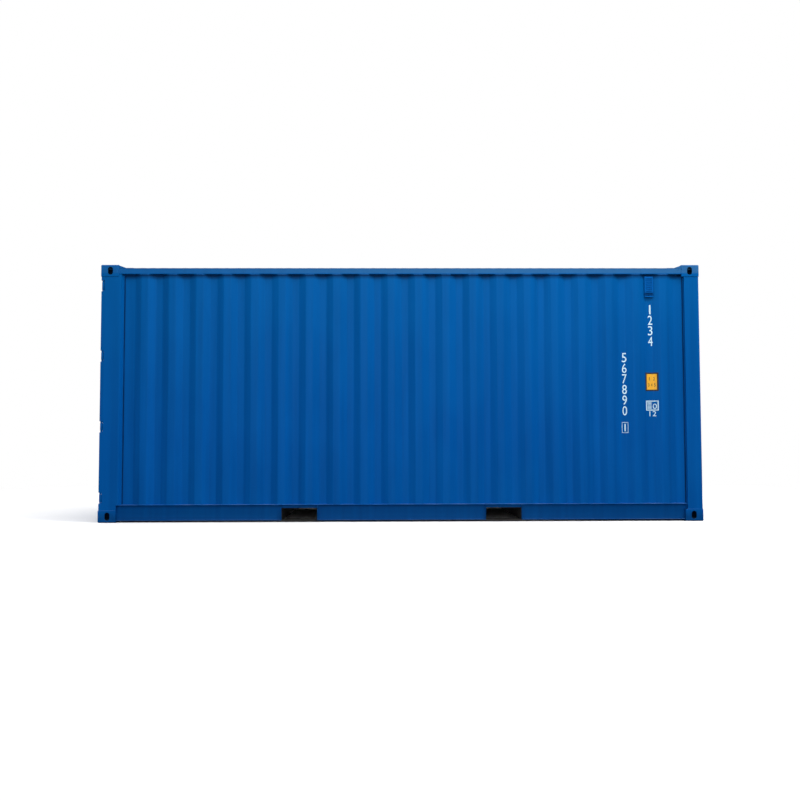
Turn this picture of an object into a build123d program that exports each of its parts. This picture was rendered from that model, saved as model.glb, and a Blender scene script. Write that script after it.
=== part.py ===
from build123d import *
import math
import os

# Twenty foot dry freight container, 8 ft 6 in high, in millimetres.
# X runs along its length with the doors at -X, Y across it, Z up. The origin lies
# on the ground under its middle. Facing the doors, left is +Y and right is -Y.
# Sections are drawn for the right rear corner, with u measured from the end plane
# and v from the side plane, and are mirrored to the other corners.

# Overall size
LENGTH = 6058
WIDTH = 2438
HEIGHT = 2591

# Corner fittings
FITTING_LENGTH = 178
FITTING_WIDTH = 162
FITTING_HEIGHT = 118
FITTING_WALL = 16
FITTING_INNER_WALL = 10
FITTING_PLATE = 28.5
FITTING_EDGE_RADIUS = 10
LOCK_SLOT_LENGTH = 124.5
LOCK_SLOT_WIDTH = 63.5
LOCK_SLOT_FROM_END = 102.5
LOCK_SLOT_FROM_SIDE = 89.5
SIDE_OVAL_WIDTH = 51
SIDE_OVAL_HEIGHT = 79.5
SIDE_OVAL_FROM_END = 95
END_OVAL_WIDTH = 63.5
END_OVAL_HEIGHT = 79.5
END_OVAL_FROM_SIDE = 84
OVAL_FROM_FACE = 61

# Posts
POST_SHEET = 6
POST_INSET = 4
POST_CORNER_RADIUS = 10
REAR_POST_LENGTH = 230
REAR_POST_FACE = 204
REAR_POST_LIP = 8
DOOR_JAMB = 49
JAMB_CHANNEL_LENGTH = 113
JAMB_CHANNEL_THICKNESS = 12
FRONT_POST_LENGTH = 160
FRONT_POST_WIDTH = 98
FRONT_POST_LIP = 6

# Side walls
WALL_INSET = 5
WALL_SHEET = 2
WALL_DEPTH = 36
WALL_PITCH = 276
WALL_CREST = 72
WALL_SLOPE = 68
WALL_REAR_FLAT = 110
WALL_FRONT_FLAT_LEAST = 40

# Front wall
FRONT_SHEET = 2
FRONT_DEPTH = 45.6
FRONT_PITCH = 250
FRONT_CREST = 110
FRONT_SLOPE = 18
FRONT_FLAT_LEAST = 30

# Rails
TOP_RAIL = 60
TOP_RAIL_SHEET = 3
TOP_RAIL_CORNER_RADIUS = 6
TOP_RAIL_DROP = 36
BOTTOM_RAIL_BASE = 17
BOTTOM_RAIL_INSET = 1
BOTTOM_RAIL_HEIGHT = 158
BOTTOM_RAIL_SHEET = 4.5
BOTTOM_RAIL_TOP_FLANGE = 52
BOTTOM_RAIL_FOOT_FLANGE = 30

# Roof
ROOF_SHEET = 2
ROOF_RIB_PITCH = 209
ROOF_RIB_BASE = 118
ROOF_RIB_CREST = 91
ROOF_RIB_HEIGHT = 20
ROOF_RIB_END_SLOPE = 60
ROOF_MARGIN = 95
ROOF_PLATE_REACH = 150
ROOF_PLATE_WIDTH = 270
ROOF_PLATE_THICKNESS = 3
ROOF_PLATE_GAP = 3
RAMP_LENGTH = 74
RAMP_WIDTH = 40
RAMP_BELOW_FITTING = 5

# Base
CROSSMEMBER_HEIGHT = 122
CROSSMEMBER_FLANGE = 45
CROSSMEMBER_SHEET = 4
CROSSMEMBER_PITCH_MOST = 300
FLOOR_THICKNESS = 28
CENTRE_RAIL_WIDTH = 50
CENTRE_RAIL_SHEET = 4
FLOOR_JOINT = 1
FORK_POCKET_SPACING = 2050
FORK_POCKET_WIDTH = 360
FORK_STRAP_BASE = 15
FORK_STRAP_THICKNESS = 6
FORK_STRAP_DEPTH = 200
FORK_PLATE = 3
FORK_GUSSET = 4

# Door frame
DOOR_RECESS = 58
HEADER_HEIGHT = 108
HEADER_SHEET = 4
HEADER_DEPTH = 63
SILL_SHEET = 4.5

# Door leaves
SEAL_GAP = 5
SEAL_THICKNESS = 13
SEAL_BASE = 6
SEAL_LIP = 4
LEAF_GAP = 10
LEAF_THICKNESS = 50
LEAF_UPRIGHT = 100
LEAF_CROSSBAR = 150
LEAF_SHEET = 3
LEAF_PANEL_SHEET = 2
LEAF_PANEL_DEPTH = 36
LEAF_PANEL_CREST = 72
LEAF_PANEL_SLOPE = 68
LEAF_PANEL_PITCH = 280
LEAF_PANEL_FLAT_LEAST = 40

# Hinges
HINGE_COUNT = 4
HINGE_FROM_FLOOR = 77
HINGE_FROM_HEADER = 70
HINGE_PIN_INSET = 22
HINGE_PIN_RADIUS = 8
HINGE_PIN_CLEARANCE = 0.4
HINGE_EYE_RADIUS = 14
HINGE_BLADE_HEIGHT = 76
HINGE_BLADE_THICKNESS = 12
HINGE_BLADE_LENGTH = 190
HINGE_LUG_THICKNESS = 15
HINGE_LUG_RADIUS = 12
HINGE_LUG_DEPTH = 36
HINGE_END_CLEARANCE = 3
HINGE_SWING_CLEARANCE = 6
HINGE_ARM_WIDTH = 14
HINGE_EYE_CLEARANCE = 3

# Lock gear
LOCK_BAR_RADIUS = 17
LOCK_BAR_STANDOFF = 12
LOCK_BAR_FROM_HINGE_EDGE = 240
LOCK_BAR_FROM_MEETING_EDGE = 230
LOCK_BAR_END_COVER = 70
LOCK_FIT_CLEARANCE = 0.3
BRACKET_WALL = 5
BRACKET_HEIGHT = 50
BRACKET_FOOT_WIDTH = 90
CAM_LENGTH = 46
CAM_WIDTH = 26
CAM_CHAMFER = 8
CAM_HEIGHT = 24
KEEPER_GAP = 6
KEEPER_WIDTH = 40
KEEPER_HEIGHT = 56
KEEPER_JAW = 10
KEEPER_PLATE = 8
KEEPER_DEPTH = 38
HANDLE_TO_NEXT_BAR = 206
HANDLE_BAR_HEIGHT = 32
HANDLE_BAR_THICKNESS = 9
HANDLE_HUB_HEIGHT = 60
HUB_SIDES = 8
HANDLE_HUB_WALL = 6
HANDLE_HUB_LAP = 5
CATCH_FROM_LEVER_END = 70
CATCH_WIDTH = 40
CATCH_HEIGHT = 64
CATCH_PLATE = 5
CATCH_GAP = 2
CATCH_LIP = 14

# Ventilators
VENT_BACK_WIDTH = 68
VENT_FRONT_WIDTH = 88
VENT_HEIGHT = 210
VENT_DEPTH = 24
VENT_BELOW_RAIL = 21
VENT_SLOT_COUNT = 9
VENT_SLOT_HEIGHT = 8

# Places worked out from the sizes above
END = LENGTH / 2
SIDE = WIDTH / 2
RAIL_LENGTH = LENGTH - 2 * FITTING_LENGTH
BETWEEN_FITTINGS = WIDTH - 2 * FITTING_WIDTH
TOP_RAIL_TOP = HEIGHT - TOP_RAIL_DROP
TOP_RAIL_BASE = TOP_RAIL_TOP - TOP_RAIL
BOTTOM_RAIL_TOP = BOTTOM_RAIL_BASE + BOTTOM_RAIL_HEIGHT
BOTTOM_WEB_V = BOTTOM_RAIL_INSET + BOTTOM_RAIL_TOP_FLANGE
WALL_INNER_V = WALL_INSET + WALL_DEPTH + WALL_SHEET
FRONT_INNER_U = WALL_INSET + FRONT_DEPTH + FRONT_SHEET
FITTING_TOP = FITTING_HEIGHT
TOP_FITTING_BASE = HEIGHT - FITTING_HEIGHT
FLOOR_BASE = BOTTOM_RAIL_BASE + CROSSMEMBER_HEIGHT
FLOOR_TOP = FLOOR_BASE + FLOOR_THICKNESS
DOOR_TOP = TOP_RAIL_TOP - HEADER_HEIGHT
FRAME_BACK = DOOR_RECESS + HEADER_DEPTH
BETWEEN_WEBS = WIDTH - 2 * BOTTOM_WEB_V
FORK_POCKET_X = FORK_POCKET_SPACING / 2
LEAF_JAMB_V = DOOR_JAMB + SEAL_GAP + SEAL_THICKNESS
LEAF_MEETING_Y = LEAF_GAP / 2 + SEAL_THICKNESS
LEAF_JAMB_Y = SIDE - LEAF_JAMB_V
LEAF_BASE = FLOOR_TOP + SEAL_GAP + SEAL_THICKNESS
LEAF_TOP = DOOR_TOP - SEAL_GAP - SEAL_THICKNESS
LEAF_BACK = DOOR_RECESS + LEAF_THICKNESS
BAR_U = DOOR_RECESS - LOCK_BAR_STANDOFF - LOCK_BAR_RADIUS
BAR_YS = (
    LEAF_MEETING_Y + LOCK_BAR_FROM_MEETING_EDGE,
    LEAF_JAMB_Y - LOCK_BAR_FROM_HINGE_EDGE,
)
HANDLE_REACH = BAR_YS[1] - BAR_YS[0] - HANDLE_TO_NEXT_BAR
CAM_TOP_Z = DOOR_TOP + LOCK_BAR_END_COVER / 2
CAM_FOOT_Z = FLOOR_TOP - LOCK_BAR_END_COVER / 2 - SEAL_GAP
HINGE_LOW = FLOOR_TOP + HINGE_FROM_FLOOR
HINGE_SPACING = (DOOR_TOP - HINGE_FROM_HEADER - HINGE_LOW) / (HINGE_COUNT - 1)
HINGE_HEIGHTS = [HINGE_LOW + k * HINGE_SPACING for k in range(HINGE_COUNT)]
NOTCH_HEIGHT = HINGE_BLADE_HEIGHT + 2 * (HINGE_END_CLEARANCE + HINGE_LUG_THICKNESS)
NOTCH_SIDE = HINGE_PIN_INSET + HINGE_EYE_RADIUS + HINGE_EYE_CLEARANCE
NOTCH_DEPTH = DOOR_RECESS + HINGE_SWING_CLEARANCE


def block(u0, u1, v0, v1, z0, z1):
    """Square block given by its limits from the end plane, the side plane and the ground."""
    size = Box(u1 - u0, v1 - v0, z1 - z0, align=Align.MIN)
    return Pos(u0 - END, v0 - SIDE, z0) * size


def plan(sketch, z0, z1):
    """Upright piece over a plan section drawn in u and v."""
    return Pos(-END, -SIDE, z0) * extrude(sketch, z1 - z0)


def along_length(sketch, x0, x1):
    """Piece along X over a cross section drawn with v across and height up."""
    section = Plane((x0, -SIDE, 0), x_dir=(0, 1, 0), z_dir=(1, 0, 0)) * sketch
    return extrude(section, x1 - x0, dir=(1, 0, 0))


def across_width(sketch, y0, y1):
    """Piece along Y over a section drawn with u across and height up."""
    section = Plane((-END, y0, 0), x_dir=(1, 0, 0), z_dir=(0, -1, 0)) * sketch
    return extrude(section, y1 - y0, dir=(0, 1, 0))


def polygon(points):
    return make_face(Polyline(*points, close=True))


def folded(points, thickness, bends=None):
    """Section of a folded sheet whose surface follows the points, its steel to the right of them."""
    line = Polyline(*points) if bends is None else FilletPolyline(*points, radius=bends)
    return make_face(offset(line, amount=thickness, side=Side.RIGHT, kind=Kind.INTERSECTION, closed=True))


def tube_section(width, height, thickness, radius):
    outside = RectangleRounded(width, height, radius)
    inside = RectangleRounded(width - 2 * thickness, height - 2 * thickness, radius - thickness)
    return Pos(width / 2, height / 2) * (outside - inside)


def other_end(shape):
    return mirror(shape, about=Plane.YZ)


def other_side(shape):
    return mirror(shape, about=Plane.XZ)


def group(solids):
    return Compound(children=[solid for piece in solids for solid in piece.solids()])


def even_places(start, stop, most):
    """Places strictly between start and stop, evenly spaced no further apart than most."""
    gaps = math.ceil((stop - start) / most)
    return [start + (stop - start) * k / gaps for k in range(1, gaps)]


def corrugation(length, first_flat, last_flat_least, crest, slope, pitch, depth):
    """Surface line of a corrugated sheet from 0 to length, with its crests at 0 and its troughs at depth."""
    count = int((length - first_flat - last_flat_least - crest - 2 * slope) // pitch) + 1
    points = [(0, depth)]
    for k in range(count):
        start = first_flat + k * pitch
        points += [(start, depth), (start + slope, 0)]
        points += [(start + slope + crest, 0), (start + 2 * slope + crest, depth)]
    return points + [(length, depth)]


def even_first_flat(length, flat_least, crest, slope, pitch):
    """First flat that leaves the row of crests centred in the length."""
    base = crest + 2 * slope
    count = int((length - 2 * flat_least - base) // pitch) + 1
    return (length - base - (count - 1) * pitch) / 2


def sheet_between(points, thickness):
    line = Polyline(*points)
    return make_face(offset(line, amount=thickness, side=Side.LEFT, kind=Kind.INTERSECTION, closed=True))


# Corner fittings

def corner_fitting():
    """Cast fitting of the bottom right rear corner, open at its end, side and foot."""
    body = block(0, FITTING_LENGTH, 0, FITTING_WIDTH, 0, FITTING_HEIGHT)
    outer_edge = body.edges().filter_by(Axis.Z).sort_by(lambda edge: edge.center().X + edge.center().Y)[0]
    body = fillet(outer_edge, FITTING_EDGE_RADIUS)
    body -= block(
        FITTING_WALL,
        FITTING_LENGTH - FITTING_INNER_WALL,
        FITTING_WALL,
        FITTING_WIDTH - FITTING_INNER_WALL,
        FITTING_PLATE,
        FITTING_HEIGHT - FITTING_INNER_WALL,
    )
    slot = Pos(LOCK_SLOT_FROM_END, LOCK_SLOT_FROM_SIDE) * SlotOverall(LOCK_SLOT_LENGTH, LOCK_SLOT_WIDTH)
    body -= plan(slot, 0, FITTING_PLATE)
    side_oval = Pos(SIDE_OVAL_FROM_END, OVAL_FROM_FACE) * SlotOverall(
        SIDE_OVAL_HEIGHT, SIDE_OVAL_WIDTH, rotation=90
    )
    body -= across_width(side_oval, -SIDE, -SIDE + FITTING_WALL)
    end_oval = Pos(END_OVAL_FROM_SIDE, OVAL_FROM_FACE) * SlotOverall(
        END_OVAL_HEIGHT, END_OVAL_WIDTH, rotation=90
    )
    body -= along_length(end_oval, -END, -END + FITTING_WALL)
    return body


def corner_fittings():
    foot = corner_fitting()
    middle = Plane((0, 0, HEIGHT / 2), z_dir=(0, 0, 1))
    levels = {"bottom": foot, "top": mirror(foot, about=middle)}
    fittings = {}
    for level, right_rear in levels.items():
        fittings[f"corner_fitting_rear_right_{level}"] = right_rear
        fittings[f"corner_fitting_rear_left_{level}"] = other_side(right_rear)
        fittings[f"corner_fitting_front_right_{level}"] = other_end(right_rear)
        fittings[f"corner_fitting_front_left_{level}"] = other_side(other_end(right_rear))
    return fittings


# Posts

def hinge_notch(z):
    """Space at one hinge that the blade's eye and arm swing in."""
    low = z - NOTCH_HEIGHT / 2
    high = z + NOTCH_HEIGHT / 2
    corner = block(0, NOTCH_SIDE, 0, DOOR_JAMB, low, high)
    inner = block(0, NOTCH_DEPTH, POST_INSET + POST_SHEET, DOOR_JAMB, low, high)
    return corner + inner


def rear_post():
    """Right rear post: pressed outer section closed by the jamb channel, notched at each hinge."""
    inner_v = WALL_INNER_V - POST_SHEET
    outer = folded(
        [
            (REAR_POST_LENGTH, inner_v),
            (REAR_POST_LENGTH - REAR_POST_LIP, inner_v),
            (REAR_POST_FACE, POST_INSET),
            (POST_INSET, POST_INSET),
            (POST_INSET, DOOR_JAMB),
        ],
        POST_SHEET,
        bends=[0, 0, POST_CORNER_RADIUS],
    )
    inside = POST_INSET + POST_SHEET
    channel_end = inside + JAMB_CHANNEL_LENGTH
    channel = folded(
        [
            (inside, inside),
            (inside, DOOR_JAMB),
            (channel_end, DOOR_JAMB),
            (channel_end, inside),
        ],
        JAMB_CHANNEL_THICKNESS,
    )
    post = plan(outer + channel, FITTING_TOP, TOP_RAIL_BASE)
    post -= block(0, FITTING_LENGTH, 0, FITTING_WIDTH, TOP_FITTING_BASE, HEIGHT)
    post -= block(FITTING_LENGTH, REAR_POST_LENGTH, 0, FITTING_WIDTH, 0, BOTTOM_RAIL_TOP)
    for z in HINGE_HEIGHTS:
        post -= hinge_notch(z)
    return post


def front_post():
    """Post of the right front corner: one pressed section with a lip to each wall."""
    side_v = WALL_INNER_V - POST_SHEET
    end_u = FRONT_INNER_U - POST_SHEET
    lip_u = FRONT_POST_LENGTH - FRONT_POST_LIP
    lip_v = FRONT_POST_WIDTH - FRONT_POST_LIP
    section = folded(
        [
            (FRONT_POST_LENGTH, side_v),
            (lip_u, side_v),
            (lip_u, POST_INSET),
            (POST_INSET, POST_INSET),
            (POST_INSET, lip_v),
            (end_u, lip_v),
            (end_u, FRONT_POST_WIDTH),
        ],
        POST_SHEET,
        bends=[0, 0, POST_CORNER_RADIUS, 0, 0],
    )
    return other_end(plan(section, FITTING_TOP, TOP_FITTING_BASE))


# Rails

def top_side_rail():
    section = Pos(WALL_INSET, TOP_RAIL_BASE) * tube_section(
        TOP_RAIL, TOP_RAIL, TOP_RAIL_SHEET, TOP_RAIL_CORNER_RADIUS
    )
    return along_length(section, -RAIL_LENGTH / 2, RAIL_LENGTH / 2)


def bottom_side_rail():
    """Channel open outwards with a gusset beside each fork pocket, run over the front fitting to the post."""
    web_v = BOTTOM_WEB_V
    section = folded(
        [
            (web_v - BOTTOM_RAIL_FOOT_FLANGE, BOTTOM_RAIL_BASE),
            (web_v, BOTTOM_RAIL_BASE),
            (web_v, BOTTOM_RAIL_TOP),
            (BOTTOM_RAIL_INSET, BOTTOM_RAIL_TOP),
        ][::-1],
        BOTTOM_RAIL_SHEET,
    )
    rear_end = -RAIL_LENGTH / 2
    rail = along_length(section, rear_end, END - FRONT_POST_LENGTH)
    rail -= other_end(block(0, FITTING_LENGTH, 0, FITTING_WIDTH, 0, FITTING_TOP))
    gusset_face = polygon(
        [
            (BOTTOM_RAIL_INSET + 2 * FORK_GUSSET, BOTTOM_RAIL_TOP - BOTTOM_RAIL_SHEET),
            (web_v - BOTTOM_RAIL_SHEET, BOTTOM_RAIL_TOP - BOTTOM_RAIL_SHEET),
            (web_v - BOTTOM_RAIL_SHEET, BOTTOM_RAIL_BASE + BOTTOM_RAIL_SHEET),
            (web_v - BOTTOM_RAIL_FOOT_FLANGE, BOTTOM_RAIL_BASE + BOTTOM_RAIL_SHEET),
        ]
    )
    rail += along_length(gusset_face, rear_end, rear_end + FORK_GUSSET)
    for centre in (-FORK_POCKET_X, FORK_POCKET_X):
        left = centre - FORK_POCKET_WIDTH / 2
        right = centre + FORK_POCKET_WIDTH / 2
        rail -= block(left + END, right + END, 0, web_v, 0, FLOOR_BASE)
        rail += along_length(gusset_face, left - FORK_GUSSET, left)
        rail += along_length(gusset_face, right, right + FORK_GUSSET)
    return rail


def front_top_rail():
    section = Pos(WALL_INSET, TOP_RAIL_BASE) * tube_section(
        TOP_RAIL, TOP_RAIL, TOP_RAIL_SHEET, TOP_RAIL_CORNER_RADIUS
    )
    return other_end(across_width(section, -BETWEEN_FITTINGS / 2, BETWEEN_FITTINGS / 2))


def clear_of_fittings(piece):
    """Cuts a cross piece of the rear end back from the four fittings beside it."""
    for z0, z1 in ((0, FITTING_TOP), (TOP_FITTING_BASE, HEIGHT)):
        cut = block(0, FITTING_LENGTH, 0, FITTING_WIDTH, z0, z1)
        piece = piece - cut - other_side(cut)
    return piece


def front_bottom_rail():
    """Channel under the front wall, its web outwards."""
    web_u = WALL_INSET
    back_u = FRONT_INNER_U
    section = folded(
        [
            (back_u, BOTTOM_RAIL_BASE),
            (web_u, BOTTOM_RAIL_BASE),
            (web_u, BOTTOM_RAIL_TOP),
            (back_u, BOTTOM_RAIL_TOP),
        ],
        BOTTOM_RAIL_SHEET,
    )
    reach = SIDE - FRONT_POST_WIDTH
    return other_end(clear_of_fittings(across_width(section, -reach, reach)))


def door_header():
    """Closed box over the doorway, its face level with the closed leaves."""
    outside = polygon(
        [
            (DOOR_RECESS, DOOR_TOP),
            (FRAME_BACK, DOOR_TOP),
            (FRAME_BACK, TOP_RAIL_TOP),
            (DOOR_RECESS, TOP_RAIL_TOP),
        ]
    )
    section = outside - offset(outside, amount=-HEADER_SHEET, kind=Kind.INTERSECTION)
    reach = SIDE - DOOR_JAMB
    return clear_of_fittings(across_width(section, -reach, reach))


def door_sill():
    """Channel between the rear bottom fittings, its web outwards and its top level with the floor."""
    section = folded(
        [
            (FRAME_BACK, BOTTOM_RAIL_BASE),
            (DOOR_RECESS, BOTTOM_RAIL_BASE),
            (DOOR_RECESS, FLOOR_TOP),
            (FRAME_BACK, FLOOR_TOP),
        ],
        SILL_SHEET,
    )
    return across_width(section, -BETWEEN_FITTINGS / 2, BETWEEN_FITTINGS / 2)


def door_sill_ends():
    """Angles that carry the sill's top on over the fittings to the jambs."""
    section = folded(
        [
            (DOOR_RECESS, FITTING_TOP),
            (DOOR_RECESS, FLOOR_TOP),
            (FRAME_BACK, FLOOR_TOP),
        ],
        SILL_SHEET,
    )
    right = across_width(section, DOOR_JAMB - SIDE, -BETWEEN_FITTINGS / 2)
    return group([right, other_side(right)])


# Walls and roof

def side_wall():
    """Corrugated right side wall between the posts and the rails."""
    start = -END + REAR_POST_LENGTH
    length = LENGTH - REAR_POST_LENGTH - FRONT_POST_LENGTH
    points = corrugation(
        length, WALL_REAR_FLAT, WALL_FRONT_FLAT_LEAST, WALL_CREST, WALL_SLOPE, WALL_PITCH, WALL_DEPTH
    )
    section = Pos(REAR_POST_LENGTH, WALL_INSET) * sheet_between(points, WALL_SHEET)
    wall = plan(section, BOTTOM_RAIL_TOP, TOP_RAIL_BASE)
    fitting = block(0, FITTING_LENGTH, 0, FITTING_WIDTH, TOP_FITTING_BASE, HEIGHT)
    return wall - other_end(fitting)


def front_wall():
    """Corrugated front wall between the front posts and rails."""
    length = WIDTH - 2 * FRONT_POST_WIDTH
    first = even_first_flat(length, FRONT_FLAT_LEAST, FRONT_CREST, FRONT_SLOPE, FRONT_PITCH)
    points = corrugation(
        length, first, FRONT_FLAT_LEAST, FRONT_CREST, FRONT_SLOPE, FRONT_PITCH, FRONT_DEPTH
    )
    turned = [(y + WALL_INSET, x + FRONT_POST_WIDTH) for x, y in points]
    line = Polyline(*turned)
    sheet = offset(line, amount=FRONT_SHEET, side=Side.RIGHT, kind=Kind.INTERSECTION, closed=True)
    wall = plan(make_face(sheet), BOTTOM_RAIL_TOP, TOP_RAIL_BASE)
    return other_end(clear_of_fittings(wall))


def roof_ribs(places, base_z, shrink):
    """Raised ribs across the roof; shrink is how far their inner faces lie inside the outer ones."""
    half_base = ROOF_RIB_BASE / 2 - shrink
    half_crest = ROOF_RIB_CREST / 2 - shrink
    reach = SIDE - WALL_INSET - ROOF_MARGIN - shrink
    crest_z = base_z + ROOF_RIB_HEIGHT
    sloping_ends = polygon(
        [
            (SIDE - reach, base_z),
            (SIDE + reach, base_z),
            (SIDE + reach - ROOF_RIB_END_SLOPE, crest_z),
            (SIDE - reach + ROOF_RIB_END_SLOPE, crest_z),
        ]
    )
    between_ends = along_length(sloping_ends, -END, END)
    section = polygon(
        [
            (END - half_base, base_z),
            (END + half_base, base_z),
            (END + half_crest, crest_z),
            (END - half_crest, crest_z),
        ]
    )
    rib = across_width(section, -reach, reach) & between_ends
    return [Pos(x, 0, 0) * rib for x in places]


def roof():
    """Roof sheet with a row of raised ribs, cut out round the top fittings."""
    top = TOP_RAIL_TOP + ROOF_SHEET
    sheet = block(DOOR_RECESS, LENGTH - WALL_INSET, WALL_INSET, WIDTH - WALL_INSET, TOP_RAIL_TOP, top)
    corner = block(0, FITTING_LENGTH, 0, FITTING_WIDTH, TOP_FITTING_BASE, HEIGHT)
    for cut in (corner, other_side(corner), other_end(corner), other_side(other_end(corner))):
        sheet -= cut
    room = LENGTH - 2 * (FITTING_LENGTH + ROOF_PLATE_REACH)
    count = int((room - ROOF_RIB_BASE) // ROOF_RIB_PITCH) + 1
    middle = (count - 1) / 2
    places = [(k - middle) * ROOF_RIB_PITCH for k in range(count)]
    return sheet + roof_ribs(places, top, 0) - roof_ribs(places, TOP_RAIL_TOP, ROOF_SHEET)


def roof_corner_plates():
    """Plates round the top fittings that take the knocks of lifting gear, with a ramp beside each fitting."""
    base = TOP_RAIL_TOP + ROOF_SHEET
    top = base + ROOF_PLATE_THICKNESS
    edge = WALL_INSET + ROOF_PLATE_GAP
    plate_end = FITTING_LENGTH + ROOF_PLATE_REACH - ROOF_PLATE_GAP
    plate = block(DOOR_RECESS, plate_end, edge, ROOF_PLATE_WIDTH, base, top)
    plate -= block(0, FITTING_LENGTH, 0, FITTING_WIDTH, TOP_FITTING_BASE, HEIGHT)
    ramp_face = polygon(
        [
            (FITTING_LENGTH, base),
            (FITTING_LENGTH + RAMP_LENGTH, base),
            (FITTING_LENGTH + RAMP_LENGTH, top),
            (FITTING_LENGTH, HEIGHT - RAMP_BELOW_FITTING),
        ]
    )
    plate += across_width(ramp_face, edge - SIDE, edge + RAMP_WIDTH - SIDE)
    return group([plate, other_side(plate), other_end(plate), other_side(other_end(plate))])


# Base

def crossmember_section():
    """Channel standing on edge, its web at u = 0 and its flanges towards +u."""
    return folded(
        [
            (CROSSMEMBER_FLANGE, BOTTOM_RAIL_BASE),
            (0, BOTTOM_RAIL_BASE),
            (0, FLOOR_BASE),
            (CROSSMEMBER_FLANGE, FLOOR_BASE),
        ],
        CROSSMEMBER_SHEET,
    )


def crossmember(web_x, towards_front, reach=BETWEEN_WEBS / 2):
    """Crossmember with its web face at web_x and its flanges towards one end."""
    at_rear = across_width(crossmember_section(), -reach, reach)
    at_web = Pos(END, 0, 0) * at_rear
    if not towards_front:
        at_web = other_end(at_web)
    return Pos(web_x, 0, 0) * at_web


def crossmembers():
    """Row of channels with a pair beside each fork pocket, the first and last between the fittings."""
    half_pocket = FORK_POCKET_WIDTH / 2
    first = -END + FRAME_BACK + CROSSMEMBER_FLANGE
    last = END - FRONT_INNER_U - CROSSMEMBER_FLANGE
    rear_pocket = (-FORK_POCKET_X - half_pocket, -FORK_POCKET_X + half_pocket)
    front_pocket = (FORK_POCKET_X - half_pocket, FORK_POCKET_X + half_pocket)
    short_reach = BETWEEN_FITTINGS / 2
    pieces = [crossmember(first, False, short_reach), crossmember(last, True, short_reach)]
    for low, high in (rear_pocket, front_pocket):
        pieces += [crossmember(low, False), crossmember(high, True)]
    bays = ((first, rear_pocket[0]), (rear_pocket[1], front_pocket[0]), (front_pocket[1], last))
    for start, stop in bays:
        for place in even_places(start, stop, CROSSMEMBER_PITCH_MOST):
            pieces.append(crossmember(place, place > 0))
    return group(pieces)


def fork_pockets():
    """Top plate and two foot straps of each fork pocket."""
    pieces = []
    reach = BETWEEN_WEBS / 2
    strap_out = SIDE - BOTTOM_WEB_V + BOTTOM_RAIL_FOOT_FLANGE
    for centre in (-FORK_POCKET_X, FORK_POCKET_X):
        plate = Pos(centre, 0, FLOOR_BASE - FORK_PLATE / 2) * Box(FORK_POCKET_WIDTH, 2 * reach, FORK_PLATE)
        strap_y = strap_out - FORK_STRAP_DEPTH / 2
        strap_z = FORK_STRAP_BASE + FORK_STRAP_THICKNESS / 2
        strap = Pos(centre, -strap_y, strap_z) * Box(
            FORK_POCKET_WIDTH, FORK_STRAP_DEPTH, FORK_STRAP_THICKNESS
        )
        pieces += [plate, strap, other_side(strap)]
    return group(pieces)


def floor():
    """Two boards of plywood, one on each side of the centre rail."""
    x0 = FRAME_BACK
    x1 = LENGTH - FRONT_INNER_U
    board = block(
        x0,
        x1,
        BOTTOM_WEB_V + FLOOR_JOINT,
        SIDE - CENTRE_RAIL_WIDTH / 2,
        FLOOR_BASE,
        FLOOR_TOP,
    )
    return group([board, other_side(board)])


def floor_centre_rail():
    """Hat section that carries the inner edges of the boards."""
    half = CENTRE_RAIL_WIDTH / 2
    section = Pos(SIDE, 0) * folded(
        [
            (-half, FLOOR_BASE),
            (-half, FLOOR_TOP),
            (half, FLOOR_TOP),
            (half, FLOOR_BASE),
        ],
        CENTRE_RAIL_SHEET,
    )
    return along_length(section, -END + FRAME_BACK, END - FRONT_INNER_U)


# Hinges

def hinge_lugs():
    """Two lugs and the pin of each hinge on the right rear post."""
    inside = POST_INSET + POST_SHEET
    lug_face = Pos(inside, inside) * Rectangle(
        NOTCH_DEPTH - inside, HINGE_LUG_DEPTH, align=Align.MIN
    )
    nose = lug_face.vertices().sort_by(lambda vertex: vertex.X + vertex.Y)[0]
    lug_face = fillet(nose, HINGE_LUG_RADIUS)
    pin_face = Pos(HINGE_PIN_INSET, HINGE_PIN_INSET) * Circle(HINGE_PIN_RADIUS)
    pieces = []
    for z in HINGE_HEIGHTS:
        low = z - NOTCH_HEIGHT / 2
        high = z + NOTCH_HEIGHT / 2
        foot_lug = plan(lug_face, low, low + HINGE_LUG_THICKNESS)
        head_lug = plan(lug_face, high - HINGE_LUG_THICKNESS, high)
        pin = plan(pin_face, low, high)
        pieces.append(foot_lug + head_lug + pin)
    return group(pieces)


def hinge_blades():
    """Cranked blade of each hinge: an eye on the pin, an arm inwards and a strap on the leaf."""
    pin = HINGE_PIN_INSET
    strap_u = DOOR_RECESS - HINGE_BLADE_THICKNESS
    strap_end = LEAF_JAMB_V + HINGE_BLADE_LENGTH
    eye = Pos(pin, pin) * Circle(HINGE_EYE_RADIUS)
    half_arm = HINGE_ARM_WIDTH / 2
    arm = Pos(pin, pin - half_arm) * Rectangle(DOOR_RECESS - pin, 2 * half_arm, align=Align.MIN)
    strap = Pos(strap_u, pin - half_arm) * Rectangle(
        HINGE_BLADE_THICKNESS, strap_end - pin + half_arm, align=Align.MIN
    )
    bore = Pos(pin, pin) * Circle(HINGE_PIN_RADIUS + HINGE_PIN_CLEARANCE)
    face = eye + arm + strap - bore
    quarter = HINGE_BLADE_HEIGHT / 4
    pieces = []
    for z in HINGE_HEIGHTS:
        blade = plan(face, z - 2 * quarter, z + 2 * quarter)
        for up in (-1, 1):
            edge = z + up * 2 * quarter
            taper = polygon(
                [
                    (LEAF_JAMB_V, edge),
                    (strap_end, edge),
                    (strap_end, edge - up * quarter),
                ]
            )
            blade -= along_length(taper, -END, -END + DOOR_RECESS)
        pieces.append(blade)
    return group(pieces)


# Door leaf, drawn for the right one

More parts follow.
